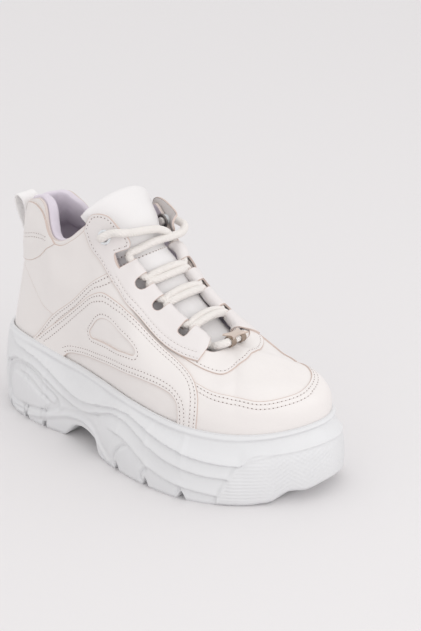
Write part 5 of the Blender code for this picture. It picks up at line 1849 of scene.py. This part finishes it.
@dataclass
class CollarLining:
    """The padded roll of lilac cloth inside the collar.

    Attributes:
        last: The upper that it lines.
        palette: Its finishes.
        columns: Mesh columns round it.
        around: Mesh rows round its section.
        end: Near station just before its two ends.
    """

    last: Last
    palette: Palette
    columns: int = 260
    around: int = 44
    end: float = 4.0

    def build(self) -> None:
        """Builds the roll."""
        stations = np.linspace(-self.end - 0.02, self.end + 0.02, self.columns)
        near = np.abs(stations)
        start, thick, above = np.moveaxis(Track(LINING, limited=True)(np.minimum(near, self.end)), -1, 0)
        seat = WALL + 0.25
        rows = [self.last.point(stations, start + (1.0 - start) * share * 0.985, -seat)
                for share in (0.0, 0.35, 0.7, 1.0)]
        edges = [self.last.edge_frame(near, side) for side in Side]
        pick = (stations < 0.0)[:, None]
        edge, onward, normal = (np.where(pick, medial, lateral) for lateral, medial in zip(*edges))
        pucker = 1.0 + 0.015 * np.sin(stations * 23.0) + 0.03 * np.sin(stations * 7.0 + 1.0)
        rows += [edge - normal * (seat + thick * deep)[:, None] + onward * (above * place * pucker)[:, None]
                 for deep, place in ((0.10, 0.72), (0.32, 0.98), (0.60, 0.98), (0.86, 0.62))]
        bulge = thick * (0.5 + 0.5 * pucker)
        rows += [self.last.point(stations, start + (1.0 - start) * place, -seat - bulge * deep)
                 for deep, place in ((1.0, 0.86), (0.97, 0.58), (0.74, 0.28), (0.35, 0.08))]
        form = Form()
        form.capped(np.moveaxis(looped(np.stack(rows), self.around), 0, 1)[None])
        roll = form.piece("collar_roll", self.palette("lining"), "collar_lining")


@dataclass
class PullLoop:
    """The tape loop standing up behind the collar.

    Attributes:
        last: The upper whose back it is sewn to.
        palette: Its finishes.
        width: Its width in mm.
        thick: Its thickness in mm.
        middle: y of its middle.
        rings: Mesh rings along it.
        crown: Height up to which its front follows the back of the upper.
    """

    last: Last
    palette: Palette
    width: float = 15.0
    thick: float = 1.6
    middle: float = 2.0
    rings: int = 132
    crown: float = 148.0

    def build(self) -> None:
        """Builds the loop."""
        run = looped(np.asarray(PULL_LOOP, float), self.rings)
        back = self.last.base(np.zeros(400), np.linspace(0.0, 1.0, 400))
        wall = np.interp(np.minimum(run[:, 1], self.crown), back[:, 2], back[:, 0])
        path = np.column_stack([wall - run[:, 0], run[:, 1]])
        along = unit(np.roll(path, -1, axis=0) - np.roll(path, 1, axis=0))
        out = np.column_stack([along[:, 1], -along[:, 0]])
        half, thick = self.width / 2, self.thick / 2
        section = ((-half, -0.35), (-half, 0.35), (0.35 - half, 0.85), (1.0 - half, 1.0), (-half / 2, 0.92),
                   (0.0, 0.9), (half / 2, 0.92), (half - 1.0, 1.0), (half - 0.35, 0.85), (half, 0.35),
                   (half, -0.35), (half - 0.35, -0.85), (half - 1.0, -1.0), (0.0, -0.9), (1.0 - half, -1.0),
                   (0.35 - half, -0.85))
        rings = [np.insert(path + out * deep * thick, 1, self.middle + across, axis=1)
                 for across, deep in section]
        form = Form()
        form.grid(np.stack(rings, axis=1), closed=True, rows_closed=True)
        form.piece("heel_pull_loop", self.palette("tape"), "pull_loop")


@dataclass
class Footbed:
    """The cloth-covered insole, raised a little round its edge.

    Attributes:
        outline: The sole's outline.
        palette: Its finishes.
        columns: Mesh columns round it.
    """

    outline: Outline
    palette: Palette
    columns: int = 220

    def build(self) -> None:
        """Builds the insole."""
        stations = np.arange(self.columns) * ROUND / self.columns
        inset, rim_z = self.outline.rim(stations)
        clear = RIM_WALL + 0.3 + WALL + 0.6
        rings = [np.column_stack([self.outline.point(stations, inset + clear + more)[0], rim_z - drop])
                 for more, drop in ((0.3, 6.4), (0.0, 5.9), (0.0, 3.6), (0.35, 2.7), (1.1, 2.3), (3.0, 2.6),
                                    (7.0, 3.1))]
        form = Form()
        form.grid(np.stack(rings), closed=True)
        form.ladder(rings[0], 2)
        form.ladder(rings[-1], 12)
        form.piece("cloth_footbed", self.palette("footbed"), "insole")


# ---- sole

@dataclass(frozen=True)
class Groove:
    """A groove across the tread, seen as a notch in its edge.

    Attributes:
        x: Its place along the shoe in mm.
        half: Half its width.
        height: Its height.
        round: Whether it has a round top and not a pointed one.
    """

    x: float
    half: float
    height: float
    round: bool


# Relief of the sole's side, drawn on its plan of near station and height in mm
LIP_HIGH = (
    (1, 64), (1.6, 60), (2.05, 54.5), (2.5, 52.6), (2.9, 50.6), (3.3, 46.4), (3.6, 41), (3.95, 36.2),
    (4.4, 35.2), (4.8, 36.8), (5.3, 40.2), (5.85, 44.2), (6.15, 44.4), (6.6, 41.8), (7.1, 37.8),
    (7.7, 34.4), (8.3, 31.2), (9.1, 29.2), (9.3, 33.6), (9.8, 36.3), (10.3, 37.6), (11, 39.8), (12, 41),
)
LIP_MIDDLE = (
    (1.55, 12), (1.62, 24), (1.74, 34.9), (1.98, 40.6), (2.3, 44.4), (2.7, 44.3), (3.2, 40), (3.6, 33.4),
    (4, 28.4), (4.4, 27.8), (4.9, 30.6), (5.3, 34.8), (5.7, 39), (6.05, 39.2), (6.5, 35.4), (6.95, 29.8),
    (7.4, 25.8), (8, 22.6), (8.4, 20.8), (8.87, 20),
)
LIP_LOW = (
    (5.45, 27.2), (5.7, 28.2), (6.05, 28.3), (6.35, 25.8), (6.65, 20.6), (6.95, 16.6), (7.4, 12.8),
    (7.9, 10.4), (8.3, 8.9), (8.68, 7.4),
)
ARCH_LIP = (
    (2.2, 3), (2.85, 6), (3.35, 10.3), (3.7, 14.4), (4.2, 18.4), (4.65, 20), (5, 17.8), (5.25, 11.5),
    (5.65, 3.7),
)
HEEL_RECESS = (
    (1.8, 24), (1.92, 34.5), (2.2, 39.8), (2.55, 41.2), (2.95, 38.6), (3.35, 32), (3.66, 25.6),
    (3.72, 20.5), (3.5, 15.5), (3.1, 11.4), (2.5, 9.2), (2, 9.6), (1.82, 14),
)
HEEL_FACE = (
    (2.05, 31), (2.35, 33), (2.68, 31.6), (3.05, 26.4), (3.4, 20.2), (3.36, 16.8), (2.95, 13.2),
    (2.5, 11.6), (2.15, 12), (2.02, 16),
)
HEEL_BAND = (
    (2.32, 38.6), (2.62, 39.2), (2.95, 35.8), (3.3, 29.6), (3.6, 24.4), (3.56, 21.6), (3.3, 25.4),
    (2.95, 31.4), (2.65, 35), (2.35, 36),
)
BUMPER = (
    (8.62, -6), (8.68, 7), (8.78, 14), (8.9, 20.7), (9.08, 28.6), (9.34, 33.3), (9.8, 36.1), (10.26, 37.2),
    (10.75, 38.9), (11.2, 40.4), (12.4, 41.2), (12.4, -6),
)
WALL_CREASES = (((5.9, 0.5), (5.84, 5), (5.86, 10.5), (5.98, 16.5), (6.2, 22.5)),
                ((6.82, 0.5), (6.72, 4.5), (6.72, 8.5), (6.86, 13.5)), ((7.86, 0.5), (7.78, 4), (7.84, 8)))


@dataclass
class Sole:
    """The moulded platform sole: stepped lips along its side, heel recess, ribbed toe bumper, notched tread.

    Attributes:
        outline: Its outline.
        palette: Its finishes.
        pitch: Spacing of its columns in mm.
        rows: Mesh rows up its side.
        grooves: The grooves of its tread.
    """

    outline: Outline
    palette: Palette
    pitch: float = 1.12
    rows: int = 80
    grooves: tuple[Groove, ...] = (
        Groove(27.0, 2.1, 5.0, True), Groove(50.0, 2.1, 5.0, True), Groove(70.0, 2.1, 4.8, True),
        Groove(153.5, 3.1, 6.6, False), Groove(182.8, 3.1, 6.4, False), Groove(212.4, 3.3, 6.2, False))

    def columns(self) -> Array:
        """Stations of the columns: the same places along both sides, close together at the grooves."""
        low, high = 24.0, 240.0     # x from which and to which both sides share their columns' places
        marks = list(np.arange(low, high, self.pitch))
        for groove in self.grooves:
            marks = [x for x in marks if abs(x - groove.x) > groove.half + 0.5]
            marks += list(groove.x + np.linspace(-groove.half - 0.3, groove.half + 0.3, 15))
        marks = np.array(sorted(x for x in marks if x >= low))
        lateral = np.array([self.outline.station_at(x, 0.6, 10.4) for x in marks])
        medial = np.array([self.outline.station_at(x, ROUND - 0.6, TOE + 0.6) for x in marks])
        heel = max(6, int(self.outline.arc(lateral[0]) / self.pitch))
        toe = int((self.outline.arc(TOE) - self.outline.arc(lateral[-1])) / self.pitch)
        return np.concatenate([np.linspace(0.0, lateral[0], heel, endpoint=False), lateral,
                               np.linspace(lateral[-1], TOE, toe + 1)[1:],
                               np.linspace(TOE, medial[-1], toe + 1)[1:-1], medial[::-1],
                               np.linspace(medial[0], ROUND, heel, endpoint=False)[1:]])

    def lift(self, x: Array) -> Array:
        """Height of the tread's edge off the floor, grooves included.

        Args:
            x: Places along the shoe.

        Returns:
            The height at each of them.
        """
        lift = self.outline.lift(x)[..., 0]
        for groove in self.grooves:
            gap = np.abs(x - groove.x) / groove.half
            if groove.round:
                shape = np.sqrt(np.clip(1.0 - gap ** 2, 0.0, 1.0)) * 0.5 + 0.5 * (gap < 1.0)
            else:
                shape = np.clip(1.0 - gap, 0.0, 1.0) ** 0.75
            lift = np.maximum(lift, groove.height * shape * (gap < 1.0))
        return lift

    def _flat(self, points: Pairs) -> Array:
        """Points of near station and height, as lengths along the outline and heights."""
        return np.array([(self.outline.arc(near), z) for near, z in points])

    def relief(self, near: Array, z: Array, arc: Array, rim_z: Array) -> Array:
        """How far the side stands out beyond its plain section.

        Args:
            near: Near stations.
            z: Heights.
            arc: Lengths along the outline, for the near station.
            rim_z: Heights of the rim.

        Returns:
            The relief at each point in mm.
        """
        out = np.zeros(z.shape)
        for line, high, deep, long, start, end in (
                (LIP_HIGH, 1.0, 1.5, 8.0, (1.6, 2.3), (ROUND, ROUND + 1)),
                (LIP_MIDDLE, 1.0, 1.5, 6.0, (1.66, 1.9), (8.85, 8.95)),
                (LIP_LOW, 0.9, 1.2, 5.0, (5.5, 5.9), (8.62, 8.7))):
            top = Track(line, limited=True)(np.clip(near, line[0][0], line[-1][0]))[..., 0]
            slope = np.gradient(top, axis=1) / np.maximum(np.abs(np.gradient(arc, axis=1)), 0.05)
            below = (top - z) / np.sqrt(1.0 + np.minimum(slope ** 2, 9.0))
            rounded = np.where(below < 0.0, hump(below, 3.4), hump(below, 1.1)) * high
            step = deep * smoothstep(0.0, 1.7, below) * np.exp(-np.maximum(below - 1.7, 0.0) / long)
            out = out + (rounded - step) * smoothstep(*start, near) * (1.0 - smoothstep(*end, near))
        high = Track(LIP_HIGH, limited=True)(np.clip(near, 1.0, 12.0))[..., 0]
        up = np.clip((z - high) / np.maximum(rim_z - high, 4.0), 0.0, 1.0)
        out = out * (1.0 - 0.5 * smoothstep(8.8, 9.8, near)) - 0.7 * smoothstep(8.8, 9.8, near)
        out = out - 2.1 * np.sin(np.pi * up ** 1.15) * smoothstep(1.9, 3.4, near)
        plan = np.stack([arc, z], -1)

        def region(points: Pairs) -> Array:
            """Distance inside a smooth closed line."""
            return inner_distance(plan, closed_run(self._flat(points), 2.0))

        recess = region(HEEL_RECESS)
        out = out - 1.5 * smoothstep(-0.7, 1.1, recess) + 0.5 * hump(recess + 1.2, 1.1)
        out = out + 1.5 * smoothstep(-0.4, 1.3, region(HEEL_FACE))
        out = out + 1.1 * smoothstep(-0.5, 0.9, region(HEEL_BAND))
        lip = line_distance(plan, smooth_run(self._flat(ARCH_LIP), 2.0))
        out = out + 0.8 * hump(lip, 1.5) - 0.5 * hump(lip - 3.2, 2.2) * (z > 2)
        for crease in WALL_CREASES:
            gap = line_distance(plan, smooth_run(self._flat(crease), 1.5))
            out = out - 1.2 * hump(gap, 1.1) + 0.45 * hump(gap - 3.0, 2.2)
        room = inner_distance(plan, self._flat(BUMPER))
        raised = smoothstep(-0.9, 0.9, room)
        ribs = 0.13 * np.cos(2 * np.pi * z / 2.4)
        cross = sum(0.15 * np.cos(2 * np.pi * (z * 0.62 + arc * slant) / 1.9) for slant in (0.40, -0.40))
        mix = smoothstep(9.2, 10.1, near)
        texture = (ribs * (1.0 - mix) + cross * mix) * smoothstep(1.2, 2.6, room) * smoothstep(2.5, 5.0, z)
        return out + 0.9 * raised + 0.5 * hump(room - 0.9, 1.0) + texture

    def build(self) -> None:
        """Builds the sole."""
        stations = self.columns()[None, :]
        lift = self.lift(self.outline.point(stations, 0.0)[0][..., 0])
        inset, rim_z = self.outline.rim(stations)
        share = np.concatenate([np.linspace(0.0, 0.06, 4), np.linspace(0.07, 0.955, self.rows),
                                [0.968, 0.98, 0.99, 1.0]])[:, None]
        z = lift + share * (rim_z - lift)
        out_share, step = np.moveaxis(self.outline.levels(share), -1, 0)
        near = np.minimum(stations, ROUND - stations)
        relief = self.relief(*np.broadcast_arrays(near, z, self.outline.arc(near), rim_z))
        relief = relief * smoothstep(-0.01, 0.08, share) * (1.0 - smoothstep(0.90, 0.99, share))
        lip = 0.8 * hump(share - 0.958, 0.028)
        bulge = 0.5 * np.sin(np.pi * np.clip(share / 0.5, 0.0, 1.0))
        side_plan, _ = self.outline.point(stations, out_share * inset + step - relief - lip - bulge)
        side = np.concatenate([side_plan, z[..., None]], axis=-1)
        rim = []
        for more, rise in ((0.35, 0.28), (0.9, 0.5), (1.6, 0.5), (2.2, 0.2), (2.35, -0.5), (RIM_WALL, -2.0),
                           (RIM_WALL, -CUP_DEPTH)):
            ring, _ = self.outline.point(stations, inset + more)
            rim.append(np.concatenate([ring, (rim_z + rise)[..., None]], axis=-1))
        form = Form()
        form.grid(np.concatenate([side, *rim]), closed=True)
        form.ladder(rim[-1][0], 3)
        form.ladder(side[0], 8)
        form.piece("moulded_sole", self.palette("rubber"), "sole", angle=50.0)


# ---- studio

@dataclass
class Softbox:
    """An area light.

    Attributes:
        name: Its name.
        place: Where it stands, in metres.
        size: Its side in metres.
        power: Its power in watts.
    """

    name: str
    place: Triple
    size: float
    power: float

    def build(self, target: Vector) -> None:
        """Adds the light.

        Args:
            target: The point that it faces, in metres.
        """
        light = bpy.data.lights.new(self.name, "AREA")
        light.shape = "DISK"
        light.size = self.size
        light.energy = self.power
        obj = bpy.data.objects.new(self.name, light)
        obj.location = self.place
        obj.rotation_mode = "QUATERNION"
        obj.rotation_quaternion = (target - obj.location).to_track_quat("-Z", "Y")
        bpy.context.scene.collection.objects.link(obj)


@dataclass
class Studio:
    """Pale floor, soft light and the camera.

    Attributes:
        target: The point the camera looks at, in metres.
        azimuth: Degrees of the camera from straight ahead of the lateral side.
        elevation: Degrees of the camera above the horizon.
        roll: Degrees by which it is tilted.
        distance: Metres from the target.
        lens: Focal length in mm on a 36 mm sensor.
        floor_size: Side of the floor in metres.
        floor_color: Its colour, linear.
        sky: Colour of the light from all round.
        sky_strength: Its strength.
        lights: The area lights.
    """

    target: Triple = (0.0099, 0.0467, 0.0800)
    azimuth: float = 41.5
    elevation: float = 23.0
    roll: float = -0.4
    distance: float = 1.120
    lens: float = 91.97
    floor_size: float = 30.0
    floor_color: Triple = (0.785, 0.770, 0.775)
    sky: Triple = (1.0, 0.99, 0.99)
    sky_strength: float = 0.95
    lights: tuple[Softbox, ...] = (
        Softbox("key_softbox", (1.6, -0.2, 0.9), 1.4, 7.0),
        Softbox("top_softbox", (-0.3, -0.3, 2.4), 1.8, 2.0),
    )

    def build(self) -> None:
        """Builds the floor, the lights and the camera."""
        self._floor()
        world = bpy.data.worlds.new("studio_air")
        bpy.context.scene.world = world
        world.use_nodes = True
        background = world.node_tree.nodes["Background"]
        background.inputs["Color"].default_value = (*self.sky, 1.0)
        background.inputs["Strength"].default_value = self.sky_strength
        for light in self.lights:
            light.build(Vector((0.0, 0.0, 0.08)))
        self._camera()
        bpy.context.scene.view_settings.view_transform = "Standard"

    def _floor(self) -> None:
        """The seamless floor."""
        half = self.floor_size / 2
        mesh = bpy.data.meshes.new("studio_floor")
        corners = [(-half, -half, 0.0), (half, -half, 0.0), (half, half, 0.0), (-half, half, 0.0)]
        mesh.from_pydata(corners, [], [(0, 1, 2, 3)])
        material = bpy.data.materials.new("studio_paper")
        material.use_nodes = True
        shader = material.node_tree.nodes["Principled BSDF"]
        shader.inputs["Base Color"].default_value = (*self.floor_color, 1.0)
        shader.inputs["Roughness"].default_value = 0.9
        shader.inputs["Specular IOR Level"].default_value = 0.1
        mesh.materials.append(material)
        floor = bpy.data.objects.new("studio_floor", mesh)
        bpy.context.scene.collection.objects.link(floor)

    def _camera(self) -> None:
        """The camera, towards the toe from the lateral side and a little above."""
        turn, tilt, roll = (math.radians(value) for value in (self.azimuth, self.elevation, self.roll))
        back = Vector((math.sin(turn) * math.cos(tilt), -math.cos(turn) * math.cos(tilt), math.sin(tilt)))
        right = Vector((math.cos(turn), math.sin(turn), 0.0))
        up = back.cross(right)
        across = right * math.cos(roll) + up * math.sin(roll)
        upward = up * math.cos(roll) - right * math.sin(roll)
        data = bpy.data.cameras.new("studio_camera")
        data.lens = self.lens
        data.sensor_width = 36.0
        data.clip_start, data.clip_end = 0.05, 60.0
        camera = bpy.data.objects.new("studio_camera", data)
        basis = Matrix((across, upward, back)).transposed().to_4x4()
        camera.matrix_world = Matrix.Translation(Vector(self.target) + back * self.distance) @ basis
        bpy.context.scene.collection.objects.link(camera)
        bpy.context.scene.camera = camera


def main() -> None:
    """Builds the shoe and the studio round it."""
    logging.basicConfig(level=logging.INFO, format="%(name)s: %(message)s")
    outline = Outline()
    last = Last(outline)
    palette = Palette(Effects())
    Sole(outline, palette).build()
    Footbed(outline, palette).build()
    UpperShell(last, palette).build()
    for side in Side:
        Eyestay(last, palette, side).build()
    eyelets = {side: Eyelet(last, palette, side) for side in Side}
    for eyelet in eyelets.values():
        eyelet.build()
    Tongue(palette).build()
    CollarLining(last, palette).build()
    PullLoop(last, palette).build()
    charm = Charm(palette)
    Laces(last, palette, eyelets).build(charm)
    charm.build()
    Studio().build()


if __name__ == "__main__":
    main()
